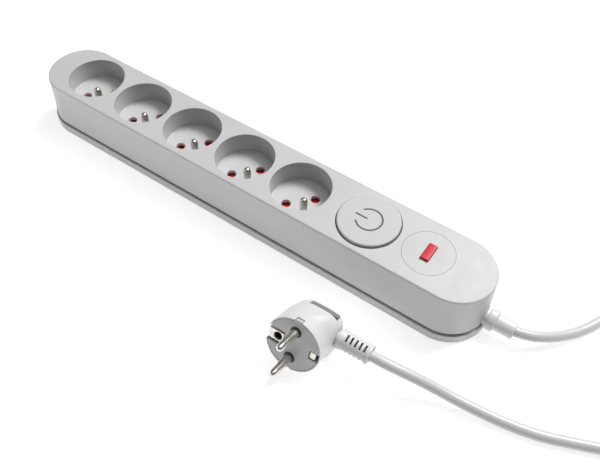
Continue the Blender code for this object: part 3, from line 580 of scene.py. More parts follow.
def combine(obj, tool, operation="DIFFERENCE"):
    """Cut with, or add, another shape, which is used up."""
    hold(obj)
    cut = obj.modifiers.new("combine", "BOOLEAN")
    cut.operation = operation
    cut.solver = "EXACT"
    cut.object = tool
    bpy.ops.object.modifier_apply(modifier=cut.name)
    bpy.data.objects.remove(tool, do_unlink=True)
    return obj


def soften(obj, width, segments=2, angle=radians(40)):
    """Round every edge sharper than angle."""
    hold(obj)
    bevel = obj.modifiers.new("soften", "BEVEL")
    bevel.width = width
    bevel.segments = segments
    bevel.limit_method = "ANGLE"
    bevel.angle_limit = angle
    bpy.ops.object.modifier_apply(modifier=bevel.name)
    return obj


def finish(obj, name, finish_name, body="root", replaces=(), slot=None, angle=radians(32)):
    """Name, shade, paint and mount a piece."""
    obj.name = name
    obj.data.name = name
    hold(obj)
    if obj.type == "MESH":
        bpy.ops.object.shade_smooth_by_angle(angle=angle)
        even = obj.modifiers.new("even", "WEIGHTED_NORMAL")
        even.keep_sharp = True
        even.weight = 50
        bpy.ops.object.modifier_apply(modifier=even.name)
    obj.data.materials.clear()
    obj.data.materials.append(FINISHES[finish_name])
    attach(obj, body)
    if replaces:
        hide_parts(*replaces)
    return obj


def into_plug(obj):
    obj.matrix_world = PLUG_FRAME
    return settle(obj)


def smooth_line(points, spacing):
    """Evenly spaced points on the natural cubic spline through the given points."""
    knots = np.array(points, float)
    spans = np.linalg.norm(np.diff(knots, axis=0), axis=1)
    at = np.concatenate(([0.0], np.cumsum(spans)))
    count = len(knots)
    system, right = np.eye(count), np.zeros_like(knots)
    for i in range(1, count - 1):
        before, after = spans[i - 1], spans[i]
        system[i, i - 1:i + 2] = before, 2 * (before + after), after
        right[i] = 6 * ((knots[i + 1] - knots[i]) / after - (knots[i] - knots[i - 1]) / before)
    bend = np.linalg.solve(system, right)
    fine = []
    for s in np.linspace(0.0, at[-1], 30 * count):
        i = min(int(np.searchsorted(at, s, side="right")) - 1, count - 2)
        span, u, v = spans[i], at[i + 1] - s, s - at[i]
        start = (knots[i] / span - bend[i] * span / 6) * u + bend[i] * u ** 3 / (6 * span)
        end = (knots[i + 1] / span - bend[i + 1] * span / 6) * v + bend[i + 1] * v ** 3 / (6 * span)
        fine.append(start + end)
    fine = np.array(fine)
    run = np.concatenate(([0.0], np.cumsum(np.linalg.norm(np.diff(fine, axis=0), axis=1))))
    places = np.linspace(0.0, run[-1], max(2, round(run[-1] / spacing)) + 1)
    return [Vector([np.interp(s, run, fine[:, k]) for k in range(3)]) for s in places]


# ---------------------------------------------------------------- stage
CAMERA_TARGET = Vector((0.05434, -0.02102, 0.0200))
CAMERA_TURN, CAMERA_RISE = radians(34.11), radians(52.64)
CAMERA_DISTANCE = 0.44237
CAMERA_ROLL = radians(0.848)
CAMERA_LENS, SENSOR_WIDTH = 42.826, 36.0


def aim(obj, place, target, roll=0.0):
    back = (Vector(place) - Vector(target)).normalized()
    right = Vector((0.0, 0.0, 1.0)).cross(back).normalized()
    upward = back.cross(right)
    right, upward = right * cos(roll) + upward * sin(roll), upward * cos(roll) - right * sin(roll)
    turn = Matrix((right, upward, back)).transposed().to_4x4()
    obj.matrix_world = Matrix.Translation(place) @ turn


def soft_light(name, place, target, size, power):
    data = bpy.data.lights.new(name, "AREA")
    data.shape = "RECTANGLE"
    data.size, data.size_y = size
    data.energy = power
    lamp = bpy.data.objects.new(name, data)
    bpy.context.scene.collection.objects.link(lamp)
    aim(lamp, place, target)


class POWERSTRIP_OT_stage(bpy.types.Operator):
    """Set up the finishes, the camera, the soft lights and the plain floor"""
    bl_idname = "powerstrip.stage"
    bl_label = "Stage"

    def execute(self, context):
        scene = context.scene
        make_finishes(scene.power_strip_colours)
        scene.view_settings.view_transform = "Standard"

        lens = bpy.data.cameras.new("camera")
        lens.lens, lens.sensor_width = CAMERA_LENS, SENSOR_WIDTH
        lens.clip_start = 0.01
        camera = bpy.data.objects.new("camera", lens)
        scene.collection.objects.link(camera)
        outward = Vector((sin(CAMERA_TURN) * cos(CAMERA_RISE), -cos(CAMERA_TURN) * cos(CAMERA_RISE),
                          sin(CAMERA_RISE)))
        aim(camera, CAMERA_TARGET + CAMERA_DISTANCE * outward, CAMERA_TARGET, CAMERA_ROLL)
        scene.camera = camera

        soft_light("key_light", (0.34, 0.90, 1.40), (0.05, 0.0, 0.0), (0.66, 0.54), 30.0)
        soft_light("overhead_light", (0.05, 0.10, 1.20), (0.05, 0.0, 0.0), (0.9, 0.7), 4.0)
        soft_light("left_light", (-0.90, -0.60, 0.35), (-0.10, 0.0, 0.0), (0.5, 0.4), 2.0)
        world = scene.world or bpy.data.worlds.new("studio")
        scene.world = world
        world.use_nodes = True
        background = world.node_tree.nodes["Background"]
        background.inputs["Color"].default_value = (1.0, 1.0, 1.0, 1.0)
        background.inputs["Strength"].default_value = 0.05

        clear_selection()
        bpy.ops.mesh.primitive_circle_add(vertices=64, radius=4.0, fill_type="NGON", location=(0.1, 0.0, 0.0))
        floor = settle(context.object)
        floor.name = "floor"
        paint = Finish("floor_paint", scene.power_strip_colours.floor, 0.9)
        grain = paint.noise(120.0, 2.0)
        paint.set("Base Color", paint.blend(grain, scene.power_strip_colours.floor,
                                            shade(scene.power_strip_colours.floor, 1.01)))
        paint.set("Specular IOR Level", 0.0)
        paint.set("Emission Color", (1.0, 1.0, 1.0, 1.0))
        paint.set("Emission Strength", 0.58)
        floor.data.materials.append(paint.material)
        return {"FINISHED"}


# ---------------------------------------------------------------- cord
def coil_points():
    count = round(COIL_SWEEP / radians(20))
    points = []
    for i in range(1, count):
        t = i / count
        angle = COIL_START - COIL_SWEEP * t
        inward = 1 - abs(2 * t - 1)
        radius = COIL_OUTER - (COIL_OUTER - COIL_INNER) * inward
        rise = min(1.0, max(0.0, 0.5 + (t - 0.5) * COIL_SWEEP / radians(110)))
        rise = rise * rise * (3 - 2 * rise)
        z = COIL_LOW_Z + (COIL_HIGH_Z - COIL_LOW_Z) * rise
        points.append((COIL_CENTRE.x + radius * cos(angle), COIL_CENTRE.y + radius * sin(angle), z))
    return points


class POWERSTRIP_OT_cord(bpy.types.Operator):
    """Lay the mains cord from the case, through its coil, to the plug, and strap the coil"""
    bl_idname = "powerstrip.cord"
    bl_label = "Cord"

    def execute(self, context):
        sizes = context.scene.power_strip_sizes
        in_boot = [PLUG_FRAME @ Vector((x, NECK_Y, NECK_Z)) for x in (NECK_END, NECK_END - 0.0085)]
        line = smooth_line(ROUTE_OUT + coil_points() + ROUTE_BACK + [tuple(p) for p in in_boot], 0.0026)
        curve = bpy.data.curves.new("mains_cord", "CURVE")
        curve.dimensions = "3D"
        curve.bevel_depth = sizes.cord_diameter / 2
        curve.bevel_resolution = 6
        curve.use_fill_caps = True
        spline = curve.splines.new("POLY")
        spline.points.add(len(line) - 1)
        for spot, point in zip(spline.points, line):
            spot.co = (*point, 1.0)
        spline.use_smooth = True
        cord = bpy.data.objects.new("mains_cord", curve)
        context.scene.collection.objects.link(cord)
        finish(cord, "mains_cord", "cord_sheath", replaces=("cord_lead", "cord_coil", "cord_return"),
               slot="cord_white")

        tie_low, tie_high = low("coil_tie"), high("coil_tie")
        strap = block("strap", (COIL_INNER - 0.0050, -0.0048, tie_low.z + 0.0001),
                      (COIL_OUTER + 0.0050, 0.0048, tie_high.z - 0.0001))
        bevel_edges(strap, lambda a, b: abs(a.x - b.x) < 1e-6 and abs(a.z - b.z) < 1e-6, 0.0042, 6)
        inside = block("strap_inside", (COIL_INNER - 0.0040, -0.0080, tie_low.z + 0.0009),
                       (COIL_OUTER + 0.0040, 0.0080, tie_high.z - 0.0009))
        bevel_edges(inside, lambda a, b: abs(a.x - b.x) < 1e-6 and abs(a.z - b.z) < 1e-6, 0.0034, 6)
        combine(strap, inside)
        lap = block("strap_lap", (COIL_INNER + 0.0010, -0.0047, tie_high.z - 0.0003),
                    (COIL_OUTER - 0.0010, 0.0047, tie_high.z - 0.00002), 0.0001, 1)
        gather(strap, [lap])
        soften(strap, 0.00015, 2)
        turn_piece(strap, radians(10), "Z")
        strap.location = (COIL_CENTRE.x, COIL_CENTRE.y, 0.0)
        settle(strap)
        finish(strap, "coil_strap", "strap_weave", replaces=("coil_tie",), slot="tie_grey")
        return {"FINISHED"}


# ---------------------------------------------------------------- case
def recess_profile(edge):
    floor, wall, over = RECESS_FLOOR_Z, RECESS_RADIUS, COVER_TOP_Z + 0.0020
    fillet = 0.0006
    foot = [(floor + fillet * (1 - cos(t)), wall - fillet * (1 - sin(t)))
            for t in (pi / 2 * i / 4 for i in range(5))]
    rim = [(COVER_TOP_Z - edge * (1 - sin(t)), wall + edge * (1 - cos(t)))
           for t in (pi / 2 * i / 4 for i in range(5))]
    return foot + rim + [(over, wall + edge)]


def contact_places():
    along = Vector((cos(SOCKET_TURN), sin(SOCKET_TURN)))
    return [Vector((x, 0.0)) + side * CONTACT_HALF_SPACING * along for x in SOCKET_XS for side in (-1, 1)]


def cover_tools(edge):
    """Everything that is cut out of the cover from above or through its end."""
    recess = turned("recess_tool", recess_profile(edge), 96)
    hole_edge = 0.0002
    contact = turned("contact_tool", [
        (RECESS_UNDER_Z - 0.0010, 0.00305), (RECESS_FLOOR_Z - hole_edge, 0.00305),
        (RECESS_FLOOR_Z + 0.0001, 0.00305 + 1.5 * hole_edge),
        (RECESS_FLOOR_Z + 0.0010, 0.00305 + 1.5 * hole_edge)], 32)
    earth = turned("earth_tool", [(RECESS_UNDER_Z - 0.0010, 0.0028), (RECESS_FLOOR_Z + 0.0010, 0.0028)], 32)
    bore = turned("button_tool", [(RECESS_UNDER_Z - 0.0010, 0.0201), (COVER_TOP_Z - 0.0003, 0.0201),
                                  (COVER_TOP_Z, 0.0204), (COVER_TOP_Z + 0.0020, 0.0204)], 96, BUTTON.x)
    seat = turned("pilot_tool", [
        (RECESS_UNDER_Z - 0.0010, 0.0140), (COVER_TOP_Z - 0.0026, 0.0140), (COVER_TOP_Z - 0.0026, 0.01587),
        (COVER_TOP_Z - 0.0001, 0.01587), (COVER_TOP_Z, 0.01594), (COVER_TOP_Z + 0.0020, 0.01594)], 96, PILOT.x)
    neck = turned("neck_tool", [(0.1640, 0.0060), (0.1780, 0.0060)], 48)
    turn_piece(neck, radians(90), "Y")
    neck.location = (0.0, 0.0, CORD_Z)
    settle(neck)
    tools = [copied(recess, "recess_copy", (x, 0.0, 0.0)) for x in SOCKET_XS]
    small = [copied(contact, "contact_copy", (p.x, p.y, 0.0)) for p in contact_places()]
    small += [copied(earth, "earth_copy", (p.x, p.y, 0.0)) for p in earth_centres()]
    for used in (recess, contact, earth):
        bpy.data.objects.remove(used, do_unlink=True)
    return gather(tools[0], tools[1:] + [bore, seat, neck]), gather(small[0], small[1:])


def earth_centres():
    toward = Vector((sin(SOCKET_TURN), -cos(SOCKET_TURN)))
    return [Vector((x, 0.0)) + 0.0100 * toward for x in SOCKET_XS]


class POWERSTRIP_OT_cover(bpy.types.Operator):
    """Mould the cover: tapered block with round ends, five sockets, button bore and pilot seat"""
    bl_idname = "powerstrip.cover"
    bl_label = "Cover"

    def execute(self, context):
        sizes = context.scene.power_strip_sizes
        cover = capsule_block("cover", COVER_FOOT_RADIUS, COVER_TOP_RADIUS, COVER_FOOT_Z, COVER_TOP_Z)
        bevel_edges(cover, lambda a, b: min(a.z, b.z) > COVER_TOP_Z - 1e-5, sizes.cover_edge, 5)
        bevel_edges(cover, lambda a, b: max(a.z, b.z) < COVER_FOOT_Z + 1e-5, 0.0003, 2)
        wall = 0.0024
        hollow = capsule_block("hollow", COVER_FOOT_RADIUS - wall, COVER_FOOT_RADIUS - wall - 0.0005,
                               COVER_FOOT_Z - 0.0020, RECESS_UNDER_Z, 96)
        combine(cover, hollow)
        large, small = cover_tools(sizes.recess_edge)
        combine(cover, large)
        combine(cover, small)
        face_outwards(cover)
        finish(cover, "cover_shell", "case_plastic", replaces=("top_cover",), slot="case_grey")
        return {"FINISHED"}


class POWERSTRIP_OT_base(bpy.types.Operator):
    """Mould the base tray with its ledge and lip, and drive its screws"""
    bl_idname = "powerstrip.base"
    bl_label = "Base"

    def execute(self, context):
        lip_radius, lip_wall, lip_top = 0.0214, 0.0016, 0.0112
        base = capsule_block("base", BASE_RADIUS, BASE_RADIUS, 0.0, SEAM_Z)
        bevel_edges(base, lambda a, b: max(a.z, b.z) < 1e-5, 0.0010, 4)
        bevel_edges(base, lambda a, b: min(a.z, b.z) > SEAM_Z - 1e-5, 0.0005, 3)
        combine(base, capsule_block("lip", lip_radius, lip_radius, SEAM_Z - 0.0020, lip_top), "UNION")
        combine(base, capsule_block("tray", lip_radius - lip_wall, lip_radius - lip_wall,
                                    0.0025, lip_top + 0.0020))
        pillars = [turned("pillar", [(0.0020, 0.0044), (0.0060, 0.0044)], 32, p.x, p.y) for p in SCREWS]
        combine(base, gather(pillars[0], pillars[1:]), "UNION")
        sinks = [turned("sink", [(-0.0010, 0.0037), (0.0, 0.0036), (0.0003, 0.0034), (0.0034, 0.0034), (0.0034, 0.00175),
                                 (0.0070, 0.00175)], 32, p.x, p.y) for p in SCREWS]
        combine(base, gather(sinks[0], sinks[1:]))
        notch = turned("notch", [(0.1640, 0.0077), (0.1712, 0.0077), (0.1712, 0.0059), (0.1780, 0.0059)], 48)
        turn_piece(notch, radians(90), "Y")
        notch.location = (0.0, 0.0, CORD_Z)
        combine(base, settle(notch))
        face_outwards(base)
        finish(base, "base_tray", "case_plastic", replaces=("base_shell",), slot="case_grey")

        screw = turned("screw", [(0.0007, 0.0022), (0.00085, 0.0027), (0.0012, 0.0030), (0.0030, 0.0030),
                                 (0.0030, 0.00135), (0.0150, 0.00135), (0.0169, 0.0005)], 32)
        cross = block("cross", (-0.0018, -0.0004, 0.0), (0.0018, 0.0004, 0.0018))
        combine(cross, block("cross_arm", (-0.0004, -0.0018, 0.0), (0.0004, 0.0018, 0.0018)), "UNION")
        turn_piece(cross, radians(25), "Z")
        combine(screw, cross)
        soften(screw, 0.00006, 1, radians(60))
        for number, place in enumerate(SCREWS, 1):
            fitted = turn_piece(copied(screw, "fitted"), radians(37 * number), "Z")
            fitted.location = (place.x, place.y, 0.0)
            settle(fitted)
            finish(fitted, f"base_screw_{number}", "zinc_plate",
                   replaces=(f"case_screw_{number}",), slot="zinc_steel")
        bpy.data.objects.remove(screw, do_unlink=True)
        return {"FINISHED"}


class POWERSTRIP_OT_sockets(bpy.types.Operator):
    """Turn the earth posts and mould the red shutters behind the contact holes"""
    bl_idname = "powerstrip.sockets"
    bl_label = "Sockets"

    def execute(self, context):
        tip = EARTH_TIP_Z
        post = turned("post", [
            (0.0166, 0.0014), (0.0185, 0.0014), (0.0187, PIN_RADIUS), (0.0203, PIN_RADIUS), (0.0203, 0.0043),
            (0.0219, 0.0043), (0.0219, PIN_RADIUS), (tip - 0.0036, PIN_RADIUS), (tip - 0.0034, 0.00225),
            (tip - 0.0018, 0.00225), (tip - 0.0010, 0.0019), (tip - 0.0004, 0.0014), (tip - 0.0001, 0.0008),
            (tip, 0.0003)], 40)
        for number, place in zip(SOCKET_NUMBERS, earth_centres()):
            finish(copied(post, "post_copy", (place.x, place.y, 0.0)), f"earth_post_{number}", "nickel_plate",
                   replaces=(f"earth_pin_{number}",), slot="nickel")
        bpy.data.objects.remove(post, do_unlink=True)

        gate = block("gate", (-0.0134, -0.0032, SHUTTER_BOTTOM_Z + 0.0001),
                     (0.0134, 0.0032, SHUTTER_TOP_Z - 0.0001))
        for side in (-1, 1):
            ramp = block("ramp", (-0.0032, -0.0050, 0.0), (0.0032, 0.0050, 0.0030))
            turn_piece(ramp, radians(-10), "X")
            ramp.location = (side * CONTACT_HALF_SPACING, 0.0, SHUTTER_TOP_Z - 0.0009)
            combine(gate, settle(ramp))
        soften(gate, 0.0003, 2)
        turn_piece(gate, SOCKET_TURN, "Z")
        for number, x in zip(SOCKET_NUMBERS, SOCKET_XS):
            finish(copied(gate, "gate_copy", (x, 0.0, 0.0)), f"shutter_gate_{number}", "shutter_plastic",
                   body=f"shutter_{number}_body", replaces=(f"shutter_{number}",), slot="shutter_red")
        bpy.data.objects.remove(gate, do_unlink=True)
        return {"FINISHED"}


# ---------------------------------------------------------------- button, pilot light and strain relief
def symbol_shape(name, sizes, z_low, z_high, spare=0.0):
    """Ring with a gap towards -X, and a bar that runs out through the gap."""
    radius, line = sizes.symbol_radius, sizes.symbol_line / 2 + spare
    ring = turned(name, [(z_low, radius + line), (z_high, radius + line)], 96, BUTTON.x)
    combine(ring, turned("ring_inside", [(z_low - 0.001, radius - line), (z_high + 0.001, radius - line)],
                         96, BUTTON.x))
    gap = radius * sin(radians(36)) - spare
    combine(ring, block("ring_gap", (BUTTON.x - 1.4 * radius, -gap, z_low - 0.001),
                        (BUTTON.x, gap, z_high + 0.001)))
    bar = block("bar", (BUTTON.x - radius - 0.0012 - spare, -line, z_low),
                (BUTTON.x - 0.0012 + spare, line, z_high))
    return gather(ring, [bar])


class POWERSTRIP_OT_button(bpy.types.Operator):
    """Turn the push button and engrave its symbol"""
    bl_idname = "powerstrip.button"
    bl_label = "Button"

    def execute(self, context):
        sizes = context.scene.power_strip_sizes
        top, radius, depth = BUTTON_TOP_Z, 0.0195, 0.0004
        button = turned("button", [(BUTTON_SKIRT_Z, radius - 0.0003), (BUTTON_SKIRT_Z + 0.0003, radius)]
                        + rounded_end(top, radius, sizes.button_edge, steps=6), 128, BUTTON.x)
        combine(button, turned("button_hollow", [(BUTTON_SKIRT_Z - 0.001, 0.0180), (top - 0.0026, 0.0180)],
                               64, BUTTON.x))
        combine(button, symbol_shape("groove", sizes, top - depth, top + 0.001))
        face_outwards(button)
        finish(button, "push_button", "case_plastic", body="button",
               replaces=("power_button",), slot="case_grey")
        inlay = symbol_shape("inlay", sizes, top - depth + 0.00005, top - 0.00015, -0.00003)
        finish(inlay, "symbol_inlay", "symbol_paint", body="button", slot="switch_black")
        return {"FINISHED"}


class POWERSTRIP_OT_pilot(bpy.types.Operator):
    """Turn the pilot disc and mould its red lens"""
    bl_idname = "powerstrip.pilot"
    bl_label = "Pilot Light"

    def execute(self, context):
        sizes = context.scene.power_strip_sizes
        half_x, half_y = 0.0027, 0.0062
        disc = turned("disc", [(COVER_TOP_Z - 0.0024, 0.0158)]
                      + rounded_end(COVER_TOP_Z, 0.0158, 0.0002, steps=3),
                      96, PILOT.x)
        window = block("window", (PILOT.x - half_x - 0.0002, -half_y - 0.0002, COVER_TOP_Z - 0.005),
                       (PILOT.x + half_x + 0.0002, half_y + 0.0002, COVER_TOP_Z + 0.002))
        combine(disc, window)
        finish(disc, "pilot_disc", "case_plastic", replaces=("pilot_plate",), slot="case_grey")

        lens = block("lens", (PILOT.x - half_x, -half_y, COVER_TOP_Z - 0.0030),
                     (PILOT.x + half_x, half_y, LENS_TOP_Z))
        bevel_edges(lens, lambda a, b: min(a.z, b.z) > LENS_TOP_Z - 1e-5, sizes.lens_edge, 2)
        flange = block("flange", (PILOT.x - half_x - 0.0009, -half_y - 0.0009, COVER_TOP_Z - 0.0036),
                       (PILOT.x + half_x + 0.0009, half_y + 0.0009, COVER_TOP_Z - 0.0027), 0.0002)
        combine(lens, flange, "UNION")
        finish(lens, "pilot_lens_cap", "lens_red", replaces=("pilot_lens",), slot="lens_red")
        return {"FINISHED"}


class POWERSTRIP_OT_relief(bpy.types.Operator):
    """Turn the tapered sleeve and collar round the cord where it leaves the case"""
    bl_idname = "powerstrip.relief"
    bl_label = "Strain Relief"

    def execute(self, context):
        sleeve = turned("sleeve", [
            (0.1669, 0.0071), (0.1687, 0.0071), (0.1688, 0.0056), (0.1747, 0.0056), (0.1748, 0.0066), (0.1751, 0.0069),
            (0.1755, 0.0070), (0.1787, 0.0070), (0.1792, 0.0069), (0.1795, 0.0066), (0.1797, 0.0058), (0.1800, 0.0056),
            (EXIT_X - 0.0008, 0.0053), (EXIT_X - 0.0003, 0.0051), (EXIT_X, 0.0048)], 64)
        combine(sleeve, turned("sleeve_bore", [
            (0.1660, 0.0036), (0.1860, 0.0036), (EXIT_X - 0.0006, 0.0041), (EXIT_X + 0.0010, 0.0045)], 48))
        turn_piece(sleeve, radians(90), "Y")
        sleeve.location = (0.0, 0.0, CORD_Z)
        settle(sleeve)
        finish(sleeve, "relief_sleeve", "white_plastic", replaces=("strain_relief",), slot="plug_white")
        return {"FINISHED"}


# ---------------------------------------------------------------- plug
def hood_ring(z, half_width, end_x, corner, lean):
    """Round towards -X, square with round corners towards +X; lean moves the ring along Y."""
    points = [Vector((half_width * cos(t), half_width * sin(t) + lean, z))
              for t in (pi / 2 + pi * i / 30 for i in range(31))]
    for y, start in ((corner - half_width, -pi / 2), (half_width - corner, 0.0)):
        points += [Vector((end_x - corner + corner * cos(t), y + corner * sin(t) + lean, z))
                   for t in (start + pi / 2 * i / 12 for i in range(13))]
    return points


HOOD_SECTIONS = [
    # height, half width, reach towards the cord, corner radius, lean
    (0.0000, 0.0174, 0.0174, 0.0173, 0.0000), (-0.0001, 0.01755, 0.01755, 0.01745, 0.0000),
    (-0.0004, 0.0176, 0.0176, 0.0175, 0.0000), (-0.0040, 0.01748, 0.01748, 0.01738, 0.0003),
    (-0.0080, 0.0173, 0.0173, 0.0172, 0.0006), (-0.0110, 0.0170, 0.0174, 0.0152, 0.0010),
    (-0.0140, 0.0165, 0.0177, 0.0130, 0.0014), (-0.0165, 0.0160, 0.0180, 0.0114, 0.0016),
    (-0.0190, 0.0154, 0.0182, 0.0100, GRIP_LEAN), (-0.0215, 0.0152, 0.0181, 0.0089, GRIP_LEAN),
    (-0.0236, 0.0147, 0.0178, 0.0080, GRIP_LEAN), (-0.0249, 0.0139, 0.0170, 0.0072, GRIP_LEAN),
    (-0.0257, 0.0127, 0.0160, 0.0064, GRIP_LEAN), (-0.0260, 0.0112, 0.0146, 0.0054, GRIP_LEAN),
]


def on_both_sides(name, corner, opposite, lean=0.0, edge=0.0):
    """A block and its twin across the plug's XZ plane; lean moves both along Y."""
    shapes = []
    for side in (1, -1):
        near, far = sorted((side * corner[1], side * opposite[1]))
        shapes.append(block(name, (corner[0], near + lean, corner[2]),
                            (opposite[0], far + lean, opposite[2]), edge))
    return shapes


def contact_pockets():
    pocket = block("pocket", (-0.0200, -0.0053, -0.0060), (-0.0060, 0.0053, 0.0010))
    return gather(pocket, [block("clip_pocket", (0.0108, -0.0028, -0.0060), (0.0170, 0.0028, 0.0010))])


class POWERSTRIP_OT_plug(bpy.types.Operator):
    """Mould the plug's hood, face and grips, and fit its pins, earth contacts and collars"""
    bl_idname = "powerstrip.plug"
    bl_label = "Plug"

    def execute(self, context):
        pin_ys = (0.0095, -0.0095)
        face_radius = 0.0166
        hood = bridged("hood", [hood_ring(*section) for section in HOOD_SECTIONS])
        combine(hood, turned("face_pocket", [(-0.0022, face_radius + 0.0002),
                                             (0.0010, face_radius + 0.0002)], 96))
        combine(hood, contact_pockets())
        keys = on_both_sides("key_slot", (-0.0024, 0.0160, -0.0030), (0.0024, 0.0200, 0.0010))
        combine(hood, gather(keys[0], keys[1:]))
        holes = [turned("pin_hole", [(-0.0110, 0.0028), (0.0010, 0.0028)], 32, 0.0, y) for y in pin_ys]
        combine(hood, gather(holes[0], holes[1:]))
        neck = turned("neck_hole", [(0.0120, 0.0051), (0.0300, 0.0051)], 48)
        turn_piece(neck, radians(90), "Y")
        neck.location = (0.0, NECK_Y, NECK_Z)
        combine(hood, settle(neck))
        grips = on_both_sides("grip_slot", (-0.0039, 0.0128, -0.0226), (0.0149, 0.0180, -0.0191), GRIP_LEAN)
        combine(hood, gather(grips[0], grips[1:]))
        face_outwards(hood)
        finish(into_plug(hood), "plug_hood", "white_plastic", replaces=("plug_body",), slot="plug_white")

        disc = turned("disc", [(-0.0020, face_radius)] + rounded_end(0.0, face_radius, 0.0003), 96)
        keys = on_both_sides("key", (-0.0021, 0.0163, -0.0027), (0.0021, 0.0172, -0.0004))
        combine(disc, gather(keys[0], keys[1:]), "UNION")
        combine(disc, contact_pockets())
        holes = [turned("pin_hole", [(-0.0110, 0.0036), (0.0010, 0.0036)], 48, 0.0, y) for y in pin_ys]
        combine(disc, gather(holes[0], holes[1:]))
        finish(into_plug(disc), "plug_disc", "plug_face_plastic", replaces=("plug_face",), slot="plug_grey")

        tip = 0.0185
        pin = turned("pin", [(-0.0104, PIN_RADIUS), (tip - 0.0050, PIN_RADIUS), (tip - 0.0030, 0.00228),
                             (tip - 0.0016, 0.0020), (tip - 0.0007, 0.0016), (tip - 0.0002, 0.0010),
                             (tip, 0.0004)], 48)
        collar = turned("collar", [(-0.0016, 0.0034), (-0.0003, 0.0034), (-0.0001, 0.0032),
                                   (-0.0001, 0.0026)], 48)
        combine(collar, turned("collar_bore", [(-0.0030, 0.00255), (0.0010, 0.00255)], 48))
        for y, node, side in zip(pin_ys, ("plug_pin_line", "plug_pin_neutral"), ("line", "neutral")):
            finish(into_plug(copied(pin, "pin_copy", (0.0, y, 0.0))), f"plug_post_{side}", "nickel_plate",
                   replaces=(node,), slot="nickel")
            finish(into_plug(copied(collar, "collar_copy", (0.0, y, 0.0))),
                   f"pin_collar_{side}", "black_plastic",
                   slot="switch_black")
        bpy.data.objects.remove(pin, do_unlink=True)
        bpy.data.objects.remove(collar, do_unlink=True)

        jack = block("jack", (-0.0163, -0.0035, -0.0054), (-0.0064, 0.0035, -0.0005), 0.0004, 3)
        combine(jack, turned("jack_bore", [(-0.0048, 0.0026), (-0.0008, 0.0026), (-0.0004, 0.0029),
                                           (0.0010, 0.0029)], 48,
                             -0.0100))
        finish(into_plug(jack), "earth_jack", "nickel_plate", replaces=("plug_earth_contact",), slot="nickel")
        # Black sleeve in the earth jack's bore: painted shade that makes the hole read dark.
        shade_sleeve = turned("shade_sleeve", [(-0.0047, 0.0025), (-0.0011, 0.0025)], 48, -0.0100)
        combine(shade_sleeve, turned("shade_sleeve_bore", [(-0.0040, 0.0022), (0.0010, 0.0022)], 48, -0.0100))
        finish(into_plug(shade_sleeve), "jack_shade_sleeve", "black_plastic", slot="switch_black")
        strip = block("strip", (0.0111, -0.0024, -0.0054), (0.0149, 0.0024, -0.0005), 0.0005, 3)
        finish(into_plug(strip), "earth_strip", "nickel_plate", replaces=("plug_earth_clip",), slot="nickel")

        bars = on_both_sides("grip", (-0.0035, 0.0131, -0.0223), (0.0145, 0.0152, -0.0194), GRIP_LEAN, 0.0005)
        for bar, node in zip(bars, ("plug_grip_upper", "plug_grip_lower")):
            finish(into_plug(bar), f"{node}_bar", "grip_plastic", replaces=(node,), slot="plug_grey")
        return {"FINISHED"}


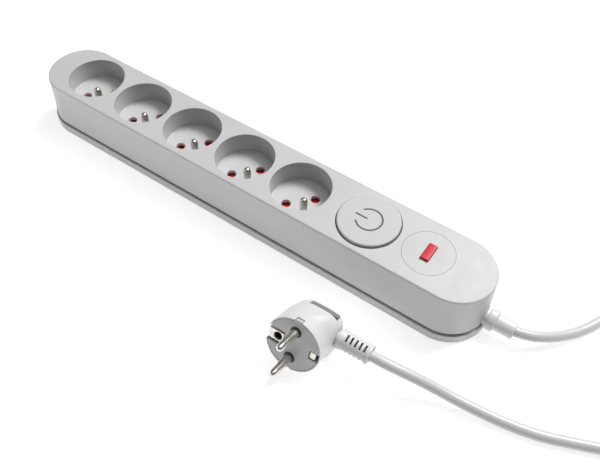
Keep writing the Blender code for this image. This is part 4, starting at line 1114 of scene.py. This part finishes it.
class POWERSTRIP_OT_boot(bpy.types.Operator):
    """Turn the plug's boot, cut its bending slots and put a black sleeve of painted shade inside it"""
    bl_idname = "powerstrip.boot"
    bl_label = "Plug Boot"

    def execute(self, context):
        boot = turned("boot", [
            (0.0127, 0.0047), (0.0187, 0.0047), (0.0188, 0.0061), (0.0191, 0.0064), (0.0206, 0.0064), (0.0222, 0.0061),
            (0.0368, 0.0057), (0.0370, 0.0059), (0.0374, 0.0061), (0.0384, 0.0061), (0.0389, 0.0059),
            (NECK_END, 0.0054)], 64)
        slots = []
        for i in range(5):
            x = 0.0233 + 0.0029 * i
            window = block("window", (0.0038, -0.0024, x), (0.0090, 0.0024, x + 0.0013), 0.0002, 2)
            slots.append(turn_piece(window, radians(122), "Z"))
            groove = block("groove", (0.0047, -0.0070, x), (0.0090, 0.0070, x + 0.0013), 0.0002, 2)
            slots.append(turn_piece(groove, radians(-125), "Z"))
        combine(boot, gather(slots[0], slots[1:]))
        combine(boot, turned("boot_bore", [(0.0226, 0.0042), (0.0380, 0.0042), (0.0380, 0.0037),
                                           (NECK_END - 0.0010, 0.0037), (NECK_END + 0.0010, 0.0043)], 48))
        face_outwards(boot)
        # Black sleeve inside the boot: painted shade that makes the bending slots read dark.
        shade_sleeve = turned("shade_sleeve", [(0.0228, 0.0040), (0.0378, 0.0040)], 48)
        combine(shade_sleeve, turned("shade_sleeve_bore", [(0.0300, 0.0036), (0.0390, 0.0036)], 48))
        soften(shade_sleeve, 0.0001, 1)
        for obj in (boot, shade_sleeve):
            turn_piece(obj, radians(90), "Y")
            obj.location = (0.0, NECK_Y, NECK_Z)
            settle(obj)
        finish(into_plug(boot), "plug_boot", "white_plastic",
               replaces=("plug_strain_relief",), slot="plug_white")
        # The black sleeve is painted shade inside the boot's slots.
        finish(into_plug(shade_sleeve), "boot_shade_sleeve", "black_plastic", slot="switch_black")

        return {"FINISHED"}


class POWERSTRIP_OT_insides(bpy.types.Operator):
    """Paint the pieces that the frame already gives the right shape"""
    bl_idname = "powerstrip.insides"
    bl_label = "Insides"

    def execute(self, context):
        slots = {entry["node"]: entry["material_slot"] for entry in frame["record"]["subparts"]}
        for name, node in NODES.items():
            node.data.materials.clear()
            node.data.materials.append(FINISHES[SLOT_FINISH[slots[name]]])
        return {"FINISHED"}


class POWERSTRIP_PT_panel(bpy.types.Panel):
    """Sizes, colours and pieces of the power strip"""
    bl_idname = "POWERSTRIP_PT_panel"
    bl_label = "Power Strip"
    bl_space_type = "VIEW_3D"
    bl_region_type = "UI"
    bl_category = "Power Strip"

    def draw(self, context):
        for group in (context.scene.power_strip_sizes, context.scene.power_strip_colours):
            box = self.layout.box()
            for name in group.__annotations__:
                box.prop(group, name)
        for operator in OPERATORS:
            self.layout.operator(operator.bl_idname)


OPERATORS = (
    POWERSTRIP_OT_stage, POWERSTRIP_OT_cord, POWERSTRIP_OT_insides, POWERSTRIP_OT_cover, POWERSTRIP_OT_base,
    POWERSTRIP_OT_sockets, POWERSTRIP_OT_button, POWERSTRIP_OT_pilot, POWERSTRIP_OT_relief, POWERSTRIP_OT_plug,
    POWERSTRIP_OT_boot,
)
CLASSES = (PowerStripSizes, PowerStripColours, *OPERATORS, POWERSTRIP_PT_panel)


def register():
    for cls in CLASSES:
        bpy.utils.register_class(cls)
    bpy.types.Scene.power_strip_sizes = PointerProperty(type=PowerStripSizes)
    bpy.types.Scene.power_strip_colours = PointerProperty(type=PowerStripColours)


def unregister():
    del bpy.types.Scene.power_strip_colours
    del bpy.types.Scene.power_strip_sizes
    for cls in reversed(CLASSES):
        bpy.utils.unregister_class(cls)


def main():
    register()
    for operator in OPERATORS:
        group, name = operator.bl_idname.split(".")
        getattr(getattr(bpy.ops, group), name)()


if __name__ == "__main__":
    main()
